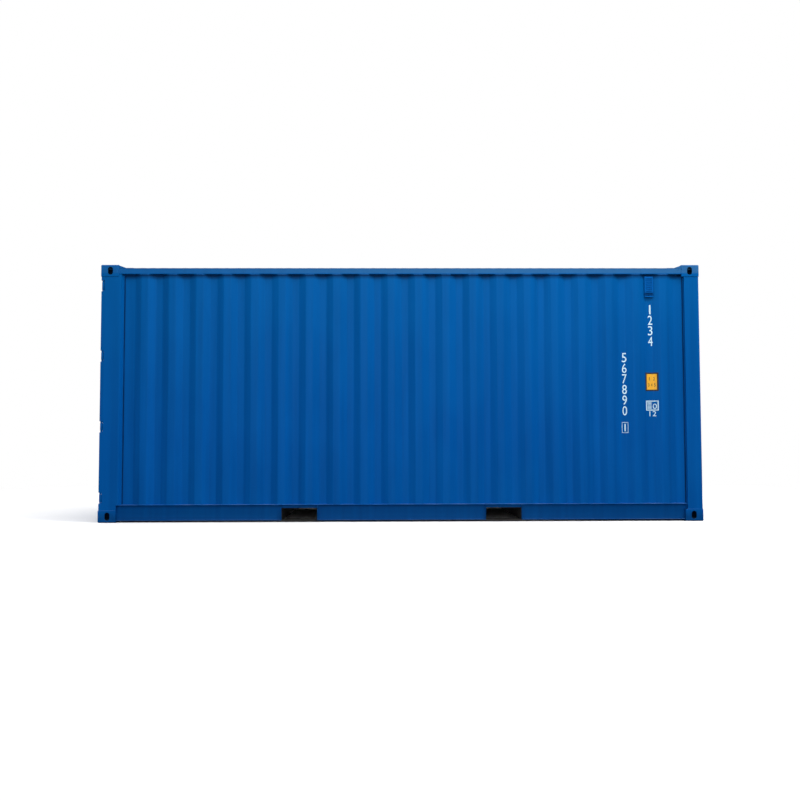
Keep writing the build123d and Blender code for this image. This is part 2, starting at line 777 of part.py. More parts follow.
def leaf_frame():
    """Two hollow uprights and two cross channels."""
    upright = tube_section(LEAF_THICKNESS, LEAF_UPRIGHT, LEAF_SHEET, 2 * LEAF_SHEET)
    jamb_upright = plan(Pos(DOOR_RECESS, LEAF_JAMB_V) * upright, LEAF_BASE, LEAF_TOP)
    meeting_v = SIDE - LEAF_MEETING_Y - LEAF_UPRIGHT
    meeting_upright = plan(Pos(DOOR_RECESS, meeting_v) * upright, LEAF_BASE, LEAF_TOP)
    channel = folded(
        [
            (LEAF_BACK, LEAF_BASE),
            (DOOR_RECESS, LEAF_BASE),
            (DOOR_RECESS, LEAF_BASE + LEAF_CROSSBAR),
            (LEAF_BACK, LEAF_BASE + LEAF_CROSSBAR),
        ],
        LEAF_SHEET,
    )
    y0 = -LEAF_JAMB_Y + LEAF_UPRIGHT
    y1 = -LEAF_MEETING_Y - LEAF_UPRIGHT
    foot = across_width(channel, y0, y1)
    head = Pos(0, 0, LEAF_TOP - LEAF_CROSSBAR - LEAF_BASE) * foot
    return group([jamb_upright, meeting_upright, foot, head])


def panel_levels():
    """Foot, height and first flat of the corrugated leaf panel."""
    base = LEAF_BASE + LEAF_CROSSBAR
    height = LEAF_TOP - LEAF_CROSSBAR - base
    first = even_first_flat(
        height, LEAF_PANEL_FLAT_LEAST, LEAF_PANEL_CREST, LEAF_PANEL_SLOPE, LEAF_PANEL_PITCH
    )
    return base, height, first


def leaf_panel():
    """Sheet with level corrugations between the uprights and crossbars."""
    base, height, first = panel_levels()
    points = corrugation(
        height,
        first,
        LEAF_PANEL_FLAT_LEAST,
        LEAF_PANEL_CREST,
        LEAF_PANEL_SLOPE,
        LEAF_PANEL_PITCH,
        LEAF_PANEL_DEPTH,
    )
    turned = [(y + DOOR_RECESS, x + base) for x, y in points]
    section = folded(turned, LEAF_PANEL_SHEET)
    y0 = -LEAF_JAMB_Y + LEAF_UPRIGHT
    y1 = -LEAF_MEETING_Y - LEAF_UPRIGHT
    return across_width(section, y0, y1)


def seal_section():
    """Seal with two lips: across the leaf's edge from 0, inwards from the leaf's outer face."""
    lip_step = LEAF_THICKNESS / 2
    points = [(0, 0), (LEAF_THICKNESS, 0), (LEAF_THICKNESS, SEAL_BASE)]
    for back in (LEAF_THICKNESS, lip_step):
        points += [
            (back, SEAL_THICKNESS),
            (back - SEAL_LIP, SEAL_THICKNESS),
            (back - 2 * SEAL_LIP, SEAL_BASE),
            (back - lip_step, SEAL_BASE),
        ]
    points = [point for k, point in enumerate(points) if k == 0 or point != points[k - 1]]
    return polygon(points)


def leaf_seal():
    """Rubber round the leaf, in four strips that butt at the corners."""
    strip = Pos(DOOR_RECESS, 0) * seal_section()
    meeting_v = SIDE - LEAF_MEETING_Y
    jamb = plan(Pos(0, LEAF_JAMB_V) * mirror(strip, about=Plane.XZ), LEAF_BASE, LEAF_TOP)
    meeting = plan(Pos(0, meeting_v) * strip, LEAF_BASE, LEAF_TOP)
    y0 = -LEAF_JAMB_Y - SEAL_THICKNESS
    y1 = -LEAF_MEETING_Y + SEAL_THICKNESS
    foot = across_width(Pos(0, LEAF_BASE) * mirror(strip, about=Plane.XZ), y0, y1)
    head = across_width(Pos(0, LEAF_TOP) * strip, y0, y1)
    return group([jamb, meeting, foot, head])


def bar_places():
    return [(BAR_U, SIDE - y) for y in BAR_YS]


def lock_bars():
    """Two bars, each with a cam on its head and foot, turned clear of the keepers."""
    foot_z = CAM_FOOT_Z - CAM_HEIGHT / 2
    head_z = CAM_TOP_Z + CAM_HEIGHT / 2
    half_cam = CAM_WIDTH / 2
    nose = polygon(
        [
            (-half_cam, 0),
            (half_cam, 0),
            (half_cam, CAM_CHAMFER - CAM_LENGTH),
            (half_cam - CAM_CHAMFER, -CAM_LENGTH),
            (CAM_CHAMFER - half_cam, -CAM_LENGTH),
            (-half_cam, CAM_CHAMFER - CAM_LENGTH),
        ]
    )
    pieces = []
    for u, v in bar_places():
        bar = plan(Pos(u, v) * Circle(LOCK_BAR_RADIUS), foot_z, head_z)
        bar += plan(Pos(u, v) * nose, foot_z, foot_z + CAM_HEIGHT)
        bar += plan(Pos(u, v) * nose, head_z - CAM_HEIGHT, head_z)
        pieces.append(bar)
    return group(pieces)


def cam_keepers():
    """Jaws on the sill and header beside each bar end, for both leaves."""
    pieces = []
    for u, v in bar_places():
        jaw_v = v + LOCK_BAR_RADIUS + KEEPER_GAP
        plan_face = polygon(
            [
                (DOOR_RECESS, jaw_v),
                (DOOR_RECESS, jaw_v + KEEPER_WIDTH),
                (DOOR_RECESS - KEEPER_DEPTH, jaw_v + KEEPER_WIDTH),
                (DOOR_RECESS - KEEPER_DEPTH, jaw_v + KEEPER_WIDTH - KEEPER_JAW),
                (DOOR_RECESS - KEEPER_PLATE, jaw_v + KEEPER_WIDTH - KEEPER_JAW),
                (DOOR_RECESS - KEEPER_PLATE, jaw_v),
            ]
        )
        for centre in (CAM_FOOT_Z, CAM_TOP_Z):
            low = centre - KEEPER_HEIGHT / 2
            keeper = plan(plan_face, low, low + KEEPER_HEIGHT)
            pieces += [keeper, other_side(keeper)]
    return group(pieces)


def panel_crests():
    """Heights of the middle of each crest of the leaf panel."""
    base, height, first = panel_levels()
    half = LEAF_PANEL_CREST / 2 + LEAF_PANEL_SLOPE
    count = round((height - 2 * first - 2 * half) / LEAF_PANEL_PITCH) + 1
    return [base + first + half + k * LEAF_PANEL_PITCH for k in range(count)]


def bracket_levels():
    """Heights of the four brackets that carry each bar: on the crossbars and on two crests.

    Two or more crests lie between the inner brackets, for the handles.
    """
    crests = panel_crests()
    inward = (len(crests) - 2) // 4
    half_bar = LEAF_CROSSBAR / 2
    return (LEAF_BASE + half_bar, crests[inward], crests[-1 - inward], LEAF_TOP - half_bar)


def lock_bar_brackets():
    """Folded saddles that hold the bars, their feet flat on the leaf."""
    half_saddle = LOCK_BAR_RADIUS + LOCK_FIT_CLEARANCE + BRACKET_WALL
    half_flat = half_saddle * math.tan(math.pi / 8)
    foot_u = DOOR_RECESS - BRACKET_WALL
    half_foot = BRACKET_FOOT_WIDTH / 2
    pieces = []
    for u, v in bar_places():
        face = folded(
            [
                (foot_u, v - half_foot),
                (foot_u, v - half_saddle),
                (u - half_flat, v - half_saddle),
                (u - half_saddle, v - half_flat),
                (u - half_saddle, v + half_flat),
                (u - half_flat, v + half_saddle),
                (foot_u, v + half_saddle),
                (foot_u, v + half_foot),
            ],
            BRACKET_WALL,
        )
        for z in bracket_levels():
            pieces.append(plan(face, z - BRACKET_HEIGHT / 2, z + BRACKET_HEIGHT / 2))
    return group(pieces)


def handle_places():
    """Bar, direction across the leaf and height of each handle: the two middle crests carry the catches."""
    crests = panel_crests()
    middle = len(crests) // 2
    levels = (crests[middle], crests[middle - 1])
    return list(zip(bar_places(), (-1, 1), levels))


def lock_handles():
    """Handle hub clamped on each bar, with a flat lever stowed along the leaf."""
    bore = LOCK_BAR_RADIUS + LOCK_FIT_CLEARANCE
    hub_face = RegularPolygon(bore + HANDLE_HUB_WALL, HUB_SIDES, major_radius=False) - Circle(bore)
    pieces = []
    for (u, v), way, z in handle_places():
        hub = plan(Pos(u, v) * hub_face, z - HANDLE_HUB_HEIGHT / 2, z + HANDLE_HUB_HEIGHT / 2)
        root = bore + HANDLE_HUB_WALL - HANDLE_HUB_LAP
        middle = v + way * (root + HANDLE_REACH) / 2
        lever_face = Pos(middle, z) * SlotOverall(HANDLE_REACH - root, HANDLE_BAR_HEIGHT)
        lever = along_length(lever_face, -END + u, -END + u + HANDLE_BAR_THICKNESS)
        lever -= plan(Pos(u, v) * Circle(bore), 0, HEIGHT)
        pieces.append(hub + lever)
    return group(pieces)


def handle_catches():
    """Plate on a crest with a hook under the free end of each handle."""
    half = CATCH_WIDTH / 2
    foot_u = DOOR_RECESS - CATCH_PLATE
    pieces = []
    for (u, v), way, z in handle_places():
        middle = v + way * (HANDLE_REACH - CATCH_FROM_LEVER_END)
        lip_u = u - CATCH_GAP - CATCH_PLATE
        shelf = z - HANDLE_BAR_HEIGHT / 2 - CATCH_GAP
        low = shelf - CATCH_PLATE
        plate = block(
            foot_u, DOOR_RECESS, middle - half, middle + half, z - CATCH_HEIGHT / 2, z + CATCH_HEIGHT / 2
        )
        hook = block(lip_u, foot_u, middle - half, middle + half, low, shelf)
        lip = block(lip_u, lip_u + CATCH_PLATE, middle - half, middle + half, low, shelf + CATCH_LIP)
        pieces.append(plate + hook + lip)
    return group(pieces)


# Ventilators

def ventilator(x):
    """Hooded housing in a recess of the right side wall, with sloping slots."""
    back_v = WALL_INSET + WALL_DEPTH
    front_v = back_v - VENT_DEPTH
    top = TOP_RAIL_BASE - VENT_BELOW_RAIL
    u = x + END
    section = polygon(
        [
            (u - VENT_BACK_WIDTH / 2, back_v),
            (u + VENT_BACK_WIDTH / 2, back_v),
            (u + VENT_FRONT_WIDTH / 2, front_v),
            (u - VENT_FRONT_WIDTH / 2, front_v),
        ]
    )
    body = plan(section, top - VENT_HEIGHT, top)
    slot_pitch = VENT_HEIGHT / (VENT_SLOT_COUNT + 1)
    for k in range(1, VENT_SLOT_COUNT + 1):
        z = top - k * slot_pitch
        cut = polygon(
            [
                (front_v, z - VENT_SLOT_HEIGHT),
                (front_v, z),
                (front_v + VENT_DEPTH / 2, z + VENT_SLOT_HEIGHT / 2),
                (front_v + VENT_DEPTH / 2, z - VENT_SLOT_HEIGHT / 2),
            ]
        )
        body -= along_length(cut, x - VENT_BACK_WIDTH / 2, x + VENT_BACK_WIDTH / 2)
    return body


def ventilators():
    """One ventilator high on each side wall, at opposite ends."""
    base = WALL_CREST + 2 * WALL_SLOPE
    first_recess = -END + REAR_POST_LENGTH + WALL_REAR_FLAT + (base + WALL_PITCH) / 2
    length = LENGTH - REAR_POST_LENGTH - FRONT_POST_LENGTH
    crests = int((length - WALL_REAR_FLAT - WALL_FRONT_FLAT_LEAST - base) // WALL_PITCH) + 1
    last_recess = first_recess + (crests - 2) * WALL_PITCH
    return group([ventilator(last_recess), other_side(ventilator(first_recess))])


def door_leaf():
    return {
        "frame": leaf_frame(),
        "panel": leaf_panel(),
        "seal": leaf_seal(),
        "hinge_blades": hinge_blades(),
        "lock_bars": lock_bars(),
        "lock_handles": lock_handles(),
        "handle_catches": handle_catches(),
        "bar_brackets": lock_bar_brackets(),
    }


def build_nodes():
    nodes = corner_fittings()
    pairs = {
        "rear_post": rear_post(),
        "front_post": front_post(),
        "top_side_rail": top_side_rail(),
        "bottom_side_rail": bottom_side_rail(),
        "side_wall": side_wall(),
        "hinge_lugs": hinge_lugs(),
    }
    for name, right in pairs.items():
        nodes[f"{name}_right"] = right
        nodes[f"{name}_left"] = other_side(right)
    nodes["front_top_rail"] = front_top_rail()
    nodes["front_bottom_rail"] = front_bottom_rail()
    nodes["front_wall"] = front_wall()
    nodes["door_header"] = door_header()
    nodes["door_sill"] = door_sill()
    nodes["door_sill_ends"] = door_sill_ends()
    nodes["cam_keepers"] = cam_keepers()
    nodes["roof"] = roof()
    nodes["roof_corner_plates"] = roof_corner_plates()
    nodes["crossmembers"] = crossmembers()
    nodes["fork_pockets"] = fork_pockets()
    nodes["floor_boards"] = floor()
    nodes["floor_centre_rail"] = floor_centre_rail()
    nodes["ventilators"] = ventilators()
    for name, right in door_leaf().items():
        nodes[f"door_right_{name}"] = right
        nodes[f"door_left_{name}"] = other_side(right)
    return nodes


os.makedirs("parts", exist_ok=True)
for node_name, shape in build_nodes().items():
    export_step(shape, f"parts/{node_name}.step")
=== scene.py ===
import math
import random

import bmesh
import bpy
from mathutils import Matrix, Vector


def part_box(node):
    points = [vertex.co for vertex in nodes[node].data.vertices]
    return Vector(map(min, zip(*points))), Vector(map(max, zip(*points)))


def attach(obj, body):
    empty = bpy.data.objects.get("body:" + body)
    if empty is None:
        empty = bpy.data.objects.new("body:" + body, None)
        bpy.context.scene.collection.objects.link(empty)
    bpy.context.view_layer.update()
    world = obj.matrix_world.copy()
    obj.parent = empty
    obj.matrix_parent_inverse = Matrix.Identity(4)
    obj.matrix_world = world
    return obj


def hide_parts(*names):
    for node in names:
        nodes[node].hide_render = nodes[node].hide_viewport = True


# Looks of a blue steel freight container. Lengths are in metres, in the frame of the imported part:
# X runs along the container with the doors at -X, Y across it and Z up. The photographed side
# faces -Y and is its right side. Facing the doors, left is +Y.

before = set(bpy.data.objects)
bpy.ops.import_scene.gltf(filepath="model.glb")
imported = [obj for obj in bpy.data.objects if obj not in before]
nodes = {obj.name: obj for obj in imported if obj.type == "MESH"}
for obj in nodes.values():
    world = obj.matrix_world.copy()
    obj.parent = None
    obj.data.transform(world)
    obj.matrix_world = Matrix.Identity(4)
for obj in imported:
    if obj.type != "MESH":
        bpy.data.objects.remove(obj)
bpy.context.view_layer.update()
scene = bpy.context.scene
MM = 0.001
rng = random.Random(22)

# Colours, in sRGB as they look in even light
BLUE = "#00539f"
BLUE_DEEP = "#004b92"
BLUE_FADED = "#045ca6"
BLUE_UPPER_TONE = "#005a8f"
BLUE_GEAR = "#1a6cb4"
INSIDE_GREY = "#b9bcb8"
DUST = "#8d8f8a"
# Chalked paint at the top, which also carries painted sheen
CHALK_AND_SHEEN = "#3d6a8e"
# Dirt, and painted shade: on undersides, below the top rail, at the ventilator's mouth and in the wall's
# corner sealant
DIRT_AND_SHADE = "#02264f"
# Road grime low down, and painted shade inside the castings
ROAD_GRIME_AND_SHADE = "#10202c"
UNDERSEAL = "#101113"
UNDERSEAL_DUST = "#3b3833"
# Painted shade under the ventilator's hood
VENT_UNDERSIDE_SHADE = "#07182b"
ZINC = "#8b9196"
ZINC_DARK = "#62686d"
PLYWOOD = "#8a5a3a"
PLYWOOD_DARK = "#5e3a24"
PLYWOOD_SCUFFED = "#a58d74"
PLYWOOD_JOINT = "#1d140d"
RUBBER = "#121314"
RUBBER_BLOOM = "#2e3033"
VINYL_WHITE = "#c6e3ee"
VINYL_YELLOW = "#e8ab2c"
VINYL_BLACK = "#1b1d1f"
VINYL_GRIME = "#5c6b78"
PAINT_SHEEN = 0.03

# Where weather, dirt, painted sheen and painted shade stand
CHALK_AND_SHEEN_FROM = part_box("top_side_rail_right")[0].z + 4 * MM
CHALK_AND_SHEEN_FULL = CHALK_AND_SHEEN_FROM + 15 * MM
# Painted light: the chalk and sheen grow towards +X, as if lit more from that side
CHALK_AND_SHEEN_THIN_X = -2.6
CHALK_AND_SHEEN_THICK_X = 0.4
CHALK_AND_SHEEN_COVER = 0.45
# Painted shadow of the top rail on the wall just below it
RAIL_SHADOW_FROM = CHALK_AND_SHEEN_FROM - 55 * MM
RAIL_SHADOW_FULL = CHALK_AND_SHEEN_FROM - 10 * MM
# Heights over which the paint turns greener
UPPER_TONE_LOW = 0.9
UPPER_TONE_HIGH = 2.45
GRIME_NONE = 120 * MM
GRIME_FULL = 50 * MM
# Painted shade at the ventilator's open mouth, low on it
MOUTH_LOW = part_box("ventilators")[0].z + 8 * MM
MOUTH_HIGH = MOUTH_LOW + 46 * MM
BOARD_LENGTH = 1160 * MM

# Sheet metal, castings and softened edges
FOLD_RADIUS = 24 * MM
FOLD_STEPS = 4
SHEET = 2 * MM
WALL_ROWS = 12
SHARP_ANGLE = math.radians(32)
RIM_ANGLE = math.radians(60)
FLAT_ANGLE = math.radians(1)
MERGE = 0.05 * MM
ON_FACE = 0.1 * MM
CASTING_EDGE = 2 * MM
SECTION_EDGE = 1.2 * MM
CASTING_RADIUS = 9 * MM
CASTING_CORNER = 10.5 * MM

# Welds and fasteners
BEAD_STEP = 8 * MM
BEAD_SIDES = 6
BEAD_RIPPLE = 0.18
SEALANT_RIPPLE = 0.04
WALL_BEAD = 3.5 * MM
WALL_BEAD_OFFSET = 1 * MM
JOINT_BEAD = 7 * MM
POST_BEAD = 3 * MM
POST_CORNER = 10 * MM
POST_WELD_REACH = {"rear": 40 * MM, "front": 88 * MM}
RAIL_WEB_DEPTH = 52 * MM
RAIL_SEAM_X = 2.645
SEAM_BEAD = 2 * MM
SEAM_FROM_EDGE = 8 * MM
ROOF_WELD_FROM_EDGE = 16 * MM
BRACKET_SHEET = 5 * MM
BRACKET_BOLT_FROM_END = 11 * MM
BRACKET_BOLT = (9 * MM, 7 * MM)
FLOOR_SCREW = (7 * MM, 0.6 * MM)
FLOOR_SCREW_SHARES = (0.12, 0.5, 0.94)
RIVET = (3.5 * MM, 1.5 * MM)
RIVET_FROM_EDGE = 6 * MM

# Camera, fitted to the corners, crests and rails of the photographed side
PHOTO_SIZE = 800
SENSOR = 36
CAMERA_PLACE = (-0.128, -10.2, 0.754)
CAMERA_FOCUS = 894.5
CAMERA_YAW = -0.0126
CAMERA_PITCH = 0.0517
CAMERA_ROLL = -0.0023

# Markings on the photographed wall, measured in the photo
FILM = 0.3 * MM
FIGURE_WIDTH = 46 * MM
FIGURE_HEIGHT = 94 * MM
FIGURE_PITCH = 108 * MM
FIGURE_WIDENING = 1.15
TYPE_SHIFT = 12 * MM
NUMBER_SHIFT = 17 * MM
PLATE_SHIFT = 18 * MM
FIRST_TYPE_Z = 2.138
FIRST_NUMBER_Z = 1.648
BOX_Z = 0.938
BOX_SIZE = (62 * MM, 108 * MM)
BOX_FIGURE = (0.8 * FIGURE_WIDTH, 0.8 * FIGURE_HEIGHT)
YELLOW_Z = 1.401
YELLOW_SIZE = (128 * MM, 188 * MM)
YELLOW_BORDER = 15 * MM
WHITE_Z = 1.160
WHITE_SIZE = (122 * MM, 100 * MM)
BOX_LINE = 4 * MM
YELLOW_FIGURE = (14 * MM, 34 * MM)
YELLOW_COLUMNS = 90 * MM
YELLOW_ROWS = 62 * MM
WHITE_LINE = 9 * MM
WHITE_BARS = 6
WHITE_BARS_SIZE = (43 * MM, 70 * MM)
WHITE_BARS_SHIFT = -25.5 * MM
WHITE_FIGURE = (38 * MM, 52 * MM)
WHITE_FIGURE_SHIFT = (0.22 * WHITE_SIZE[0], -8 * MM)
SMALL_FIGURE = (32 * MM, 52 * MM)
SMALL_PITCH = 45 * MM
SMALL_BELOW = 32 * MM

# Light and floor
SKY_TOP = 0.9
FLOOR_PALE = "#fafafa"
FLOOR_BOUNCE = "#5f5f5f"
FLOOR_SOLID = 5.0
FLOOR_RADIUS = 9.0
FLOOR_LEVEL = -0.5 * MM
FLOOR_SIDES = 64

# Name, place, aim, width, height and power of each lamp
LAMPS = (
    ("key", (5.0, -5.0, 9.0), (0.0, -1.2, 1.3), 3.0, 3.0, 372),
    ("overhead", (0.0, -3.0, 8.0), (0.0, -0.6, 1.2), 9.0, 5.0, 224),
    ("near_wall", (0.0, -3.2, 3.9), (0.0, -1.2, 1.5), 7.0, 1.0, 32),
    ("near_right", (2.5, -2.8, 4.2), (1.5, -1.2, 1.5), 4.0, 1.2, 18),
    ("front_fill", (0.0, -12.0, 3.0), (0.0, -1.2, 1.3), 8.0, 5.0, 370),
    ("far_side_fill", (0.0, 12.0, 5.0), (0.0, 1.2, 1.3), 8.0, 5.0, 600),
    ("door_fill", (-13.0, 1.5, 4.0), (-3.0, 0.0, 1.3), 4.0, 4.0, 420),
    ("closed_end_fill", (13.0, 1.5, 4.0), (3.0, 0.0, 1.3), 4.0, 4.0, 420),
)


def linear(hex_colour):
    """Linear colour of an sRGB hex value."""
    parts = [int(hex_colour[k : k + 2], 16) / 255 for k in (1, 3, 5)]
    return [p / 12.92 if p <= 0.04045 else ((p + 0.055) / 1.055) ** 2.4 for p in parts] + [1.0]


def add(tree, kind, inputs=(), **settings):
    """Adds a node with its settings and inputs, which are a dict by name or a tuple in the node's order.

    An input given as a socket is linked. A number or a hex colour is set.
    """
    made = tree.nodes.new(kind)
    for name, value in settings.items():
        setattr(made, name, value)
    for name, value in inputs.items() if isinstance(inputs, dict) else enumerate(inputs):
        if isinstance(value, bpy.types.NodeSocket):
            tree.links.new(value, made.inputs[name])
        else:
            made.inputs[name].default_value = linear(value) if isinstance(value, str) else value
    return made


def new_material(name):
    """Empty material with its shader and output; returns the material, its tree and the shader."""
    material = bpy.data.materials.new(name)
    material.use_nodes = True
    tree = material.node_tree
    tree.nodes.clear()
    shader = add(tree, "ShaderNodeBsdfPrincipled")
    add(tree, "ShaderNodeOutputMaterial", {"Surface": shader.outputs["BSDF"]})
    return material, tree, shader


def clouds(tree, x, y, z, detail=3.0):
    """Soft noise from 0 to 1 whose blotches are about x, y and z metres large."""
    place = add(tree, "ShaderNodeTexCoord").outputs["Object"]
    stretched = add(tree, "ShaderNodeMapping", {"Vector": place, "Scale": (1 / x, 1 / y, 1 / z)})
    noise = {"Vector": stretched.outputs[0], "Scale": 1.0, "Detail": detail}
    return add(tree, "ShaderNodeTexNoise", noise).outputs["Fac"]


def coated(tree, under, over, value, start, full, cover=1.0):
    """Colour with another laid over it: none of it where value is at start, cover of it at full."""
    share = add(tree, "ShaderNodeMapRange", (value, start, full, 0.0, cover)).outputs["Result"]
    return add(tree, "ShaderNodeMix", {0: share, 6: under, 7: over}, data_type="RGBA").outputs[2]


def roughen(tree, shader, value, low, high, smooth, rough):
    """Surface that goes from smooth to rough as value runs from low to high."""
    varied = add(tree, "ShaderNodeMapRange", (value, low, high, smooth, rough))
    tree.links.new(varied.outputs["Result"], shader.inputs["Roughness"])


def depth_in_box(tree):
    """Share of a piece's own box from its middle to a point: 0 in the middle, 0.5 on its outer faces."""
    place = add(tree, "ShaderNodeTexCoord").outputs["Generated"]
    offset = add(tree, "ShaderNodeVectorMath", (place, (0.5, 0.5, 0.5)), operation="SUBTRACT")
    distance = add(tree, "ShaderNodeVectorMath", (offset.outputs[0],), operation="ABSOLUTE")
    reach = add(tree, "ShaderNodeSeparateXYZ", (distance.outputs[0],)).outputs
    level = add(tree, "ShaderNodeMath", (reach["X"], reach["Y"]), operation="MAXIMUM").outputs[0]
    return add(tree, "ShaderNodeMath", (level, reach["Z"]), operation="MAXIMUM").outputs[0]


# Materials

def container_paint(name, inward=None, rail_shadow=False, hollow=False):
    """Satin acrylic topcoat over zinc primer, sprayed on folded steel.

    It gives an even deep blue with a soft broad highlight, faint upright streaks where rain runs,
    a greener tone higher up, chalked paint with painted sheen at the top that is painted paler
    towards +X as if lit from there, road grime low down, painted shade on undersides, a little dust
    on ledges, and long shallow waves in the sheet. A shell whose inner face looks along inward is
    pale grey there. Walls can have the top rail's shadow painted on them just below it. A hollow
    casting is dark inside, with some dirt and painted shade in its hollow.
    """
    material, tree, shader = new_material(name)
    place = add(tree, "ShaderNodeTexCoord").outputs
    spot = add(tree, "ShaderNodeSeparateXYZ", (place["Object"],)).outputs
    facing = add(tree, "ShaderNodeSeparateXYZ", (place["Normal"],)).outputs
    streaks = clouds(tree, 55 * MM, 90 * MM, 1600 * MM)
    patches = clouds(tree, 500 * MM, 500 * MM, 700 * MM, 2.0)
    colour = coated(tree, BLUE, BLUE_DEEP, streaks, 0.3, 0.7)
    colour = coated(tree, colour, BLUE_FADED, patches, 0.45, 0.8, 0.35)
    # Greener tone higher up
    colour = coated(tree, colour, BLUE_UPPER_TONE, spot["Z"], UPPER_TONE_LOW, UPPER_TONE_HIGH, 0.32)
    # Chalky top with painted sheen on it, painted paler towards +X as if lit from that side
    chalk_and_sheen_along_x = (spot["X"], CHALK_AND_SHEEN_THIN_X, CHALK_AND_SHEEN_THICK_X, 0.3 * CHALK_AND_SHEEN_COVER, CHALK_AND_SHEEN_COVER)
    chalk_and_sheen = add(tree, "ShaderNodeMapRange", chalk_and_sheen_along_x).outputs["Result"]
    colour = coated(tree, colour, CHALK_AND_SHEEN, spot["Z"], CHALK_AND_SHEEN_FROM, CHALK_AND_SHEEN_FULL, chalk_and_sheen)
    colour = coated(tree, colour, ROAD_GRIME_AND_SHADE, spot["Z"], GRIME_NONE, GRIME_FULL, 0.3)
    # Painted shade on faces that look down
    colour = coated(tree, colour, DIRT_AND_SHADE, facing["Z"], -0.3, -0.8, 0.7)
    dust = add(tree, "ShaderNodeMapRange", (patches, 0.2, 0.7, 0.0, 0.3)).outputs["Result"]
    colour = coated(tree, colour, DUST, facing["Z"], 0.5, 0.95, dust)
    # Painted shadow of the top rail on the wall just below it
    if rail_shadow:
        colour = coated(tree, colour, DIRT_AND_SHADE, spot["Z"], RAIL_SHADOW_FROM, RAIL_SHADOW_FULL)
    # Dark inside the casting: some dirt, and painted shade in its hollow
    if hollow:
        colour = coated(tree, colour, ROAD_GRIME_AND_SHADE, depth_in_box(tree), 0.46, 0.44, 0.9)
    if inward:
        turned = add(tree, "ShaderNodeVectorMath", (place["Normal"], inward), operation="DOT_PRODUCT")
        colour = coated(tree, colour, INSIDE_GREY, turned.outputs["Value"], 0.02, 0.04)
    tree.links.new(colour, shader.inputs["Base Color"])
    roughen(tree, shader, patches, 0.2, 0.8, 0.36, 0.5)
    shader.inputs["Specular IOR Level"].default_value = PAINT_SHEEN
    peel = clouds(tree, 3 * MM, 3 * MM, 3 * MM, 1.0)
    fine = add(tree, "ShaderNodeBump", {"Height": peel, "Strength": 0.04, "Distance": 0.2 * MM})
    waves = clouds(tree, 160 * MM, 160 * MM, 420 * MM, 1.0)
    broad = add(
        tree,
        "ShaderNodeBump",
        {"Height": waves, "Normal": fine.outputs[0], "Strength": 0.5, "Distance": 1.5 * MM},
    )
    tree.links.new(broad.outputs[0], shader.inputs["Normal"])
    return material


def underseal(name):
    """Bitumen underseal, sprayed thick: near black, matt, lumpy, with patches of road dust."""
    material, tree, shader = new_material(name)
    lumps = clouds(tree, 12 * MM, 12 * MM, 12 * MM, 4.0)
    dust = clouds(tree, 300 * MM, 300 * MM, 80 * MM)
    colour = coated(tree, UNDERSEAL, UNDERSEAL_DUST, dust, 0.45, 0.8, 0.35)
    tree.links.new(colour, shader.inputs["Base Color"])
    shader.inputs["Roughness"].default_value = 0.8
    bump = add(tree, "ShaderNodeBump", {"Height": lumps, "Strength": 0.6, "Distance": 1 * MM})
    tree.links.new(bump.outputs[0], shader.inputs["Normal"])
    return material


def painted_zinc(name):
    """Forged lock gear, hot dip galvanised and painted over: blue, with zinc where hands and cams rub."""
    material, tree, shader = new_material(name)
    rubbed = clouds(tree, 35 * MM, 35 * MM, 60 * MM, 5.0)
    spangle = clouds(tree, 8 * MM, 8 * MM, 8 * MM, 1.0)
    worn = add(tree, "ShaderNodeMapRange", (rubbed, 0.66, 0.72, 0.0, 1.0)).outputs["Result"]
    metal = coated(tree, ZINC, ZINC_DARK, spangle, 0.0, 1.0)
    tree.links.new(coated(tree, BLUE_GEAR, metal, worn, 0.0, 1.0), shader.inputs["Base Color"])
    tree.links.new(worn, shader.inputs["Metallic"])
    roughen(tree, shader, rubbed, 0.3, 0.7, 0.38, 0.52)
    shader.inputs["Specular IOR Level"].default_value = PAINT_SHEEN
    bump = add(tree, "ShaderNodeBump", {"Height": rubbed, "Strength": 0.3, "Distance": 0.4 * MM})
    tree.links.new(bump.outputs[0], shader.inputs["Normal"])
    return material


def bare_zinc(name):
    """Galvanised bolts and rivets: grey metal with a faint crystal pattern."""
    material, tree, shader = new_material(name)
    spangle = clouds(tree, 6 * MM, 6 * MM, 6 * MM, 1.0)
    tree.links.new(coated(tree, ZINC, ZINC_DARK, spangle, 0.0, 1.0), shader.inputs["Base Color"])
    shader.inputs["Metallic"].default_value = 1.0
    roughen(tree, shader, spangle, 0.3, 0.7, 0.35, 0.5)
    return material


def floor_plywood(name):
    """Oiled hardwood plywood, 28 mm: red brown with grain along the container and scuffs from pallets."""
    material, tree, shader = new_material(name)
    grain = clouds(tree, 900 * MM, 14 * MM, 14 * MM, 6.0)
    scuffs = clouds(tree, 1200 * MM, 60 * MM, 60 * MM, 4.0)
    colour = coated(tree, PLYWOOD, PLYWOOD_DARK, grain, 0.3, 0.7)
    colour = coated(tree, colour, PLYWOOD_SCUFFED, scuffs, 0.58, 0.72, 0.5)
    place = add(tree, "ShaderNodeTexCoord").outputs["Object"]
    along = add(tree, "ShaderNodeSeparateXYZ", (place,)).outputs["X"]
    from_joint = add(tree, "ShaderNodeMath", (along, BOARD_LENGTH), operation="PINGPONG").outputs[0]
    colour = coated(tree, PLYWOOD_JOINT, colour, from_joint, 1 * MM, 3 * MM)
    tree.links.new(colour, shader.inputs["Base Color"])
    roughen(tree, shader, scuffs, 0.3, 0.7, 0.5, 0.75)
    bump = add(tree, "ShaderNodeBump", {"Height": grain, "Strength": 0.25, "Distance": 0.5 * MM})
    tree.links.new(bump.outputs[0], shader.inputs["Normal"])
    return material


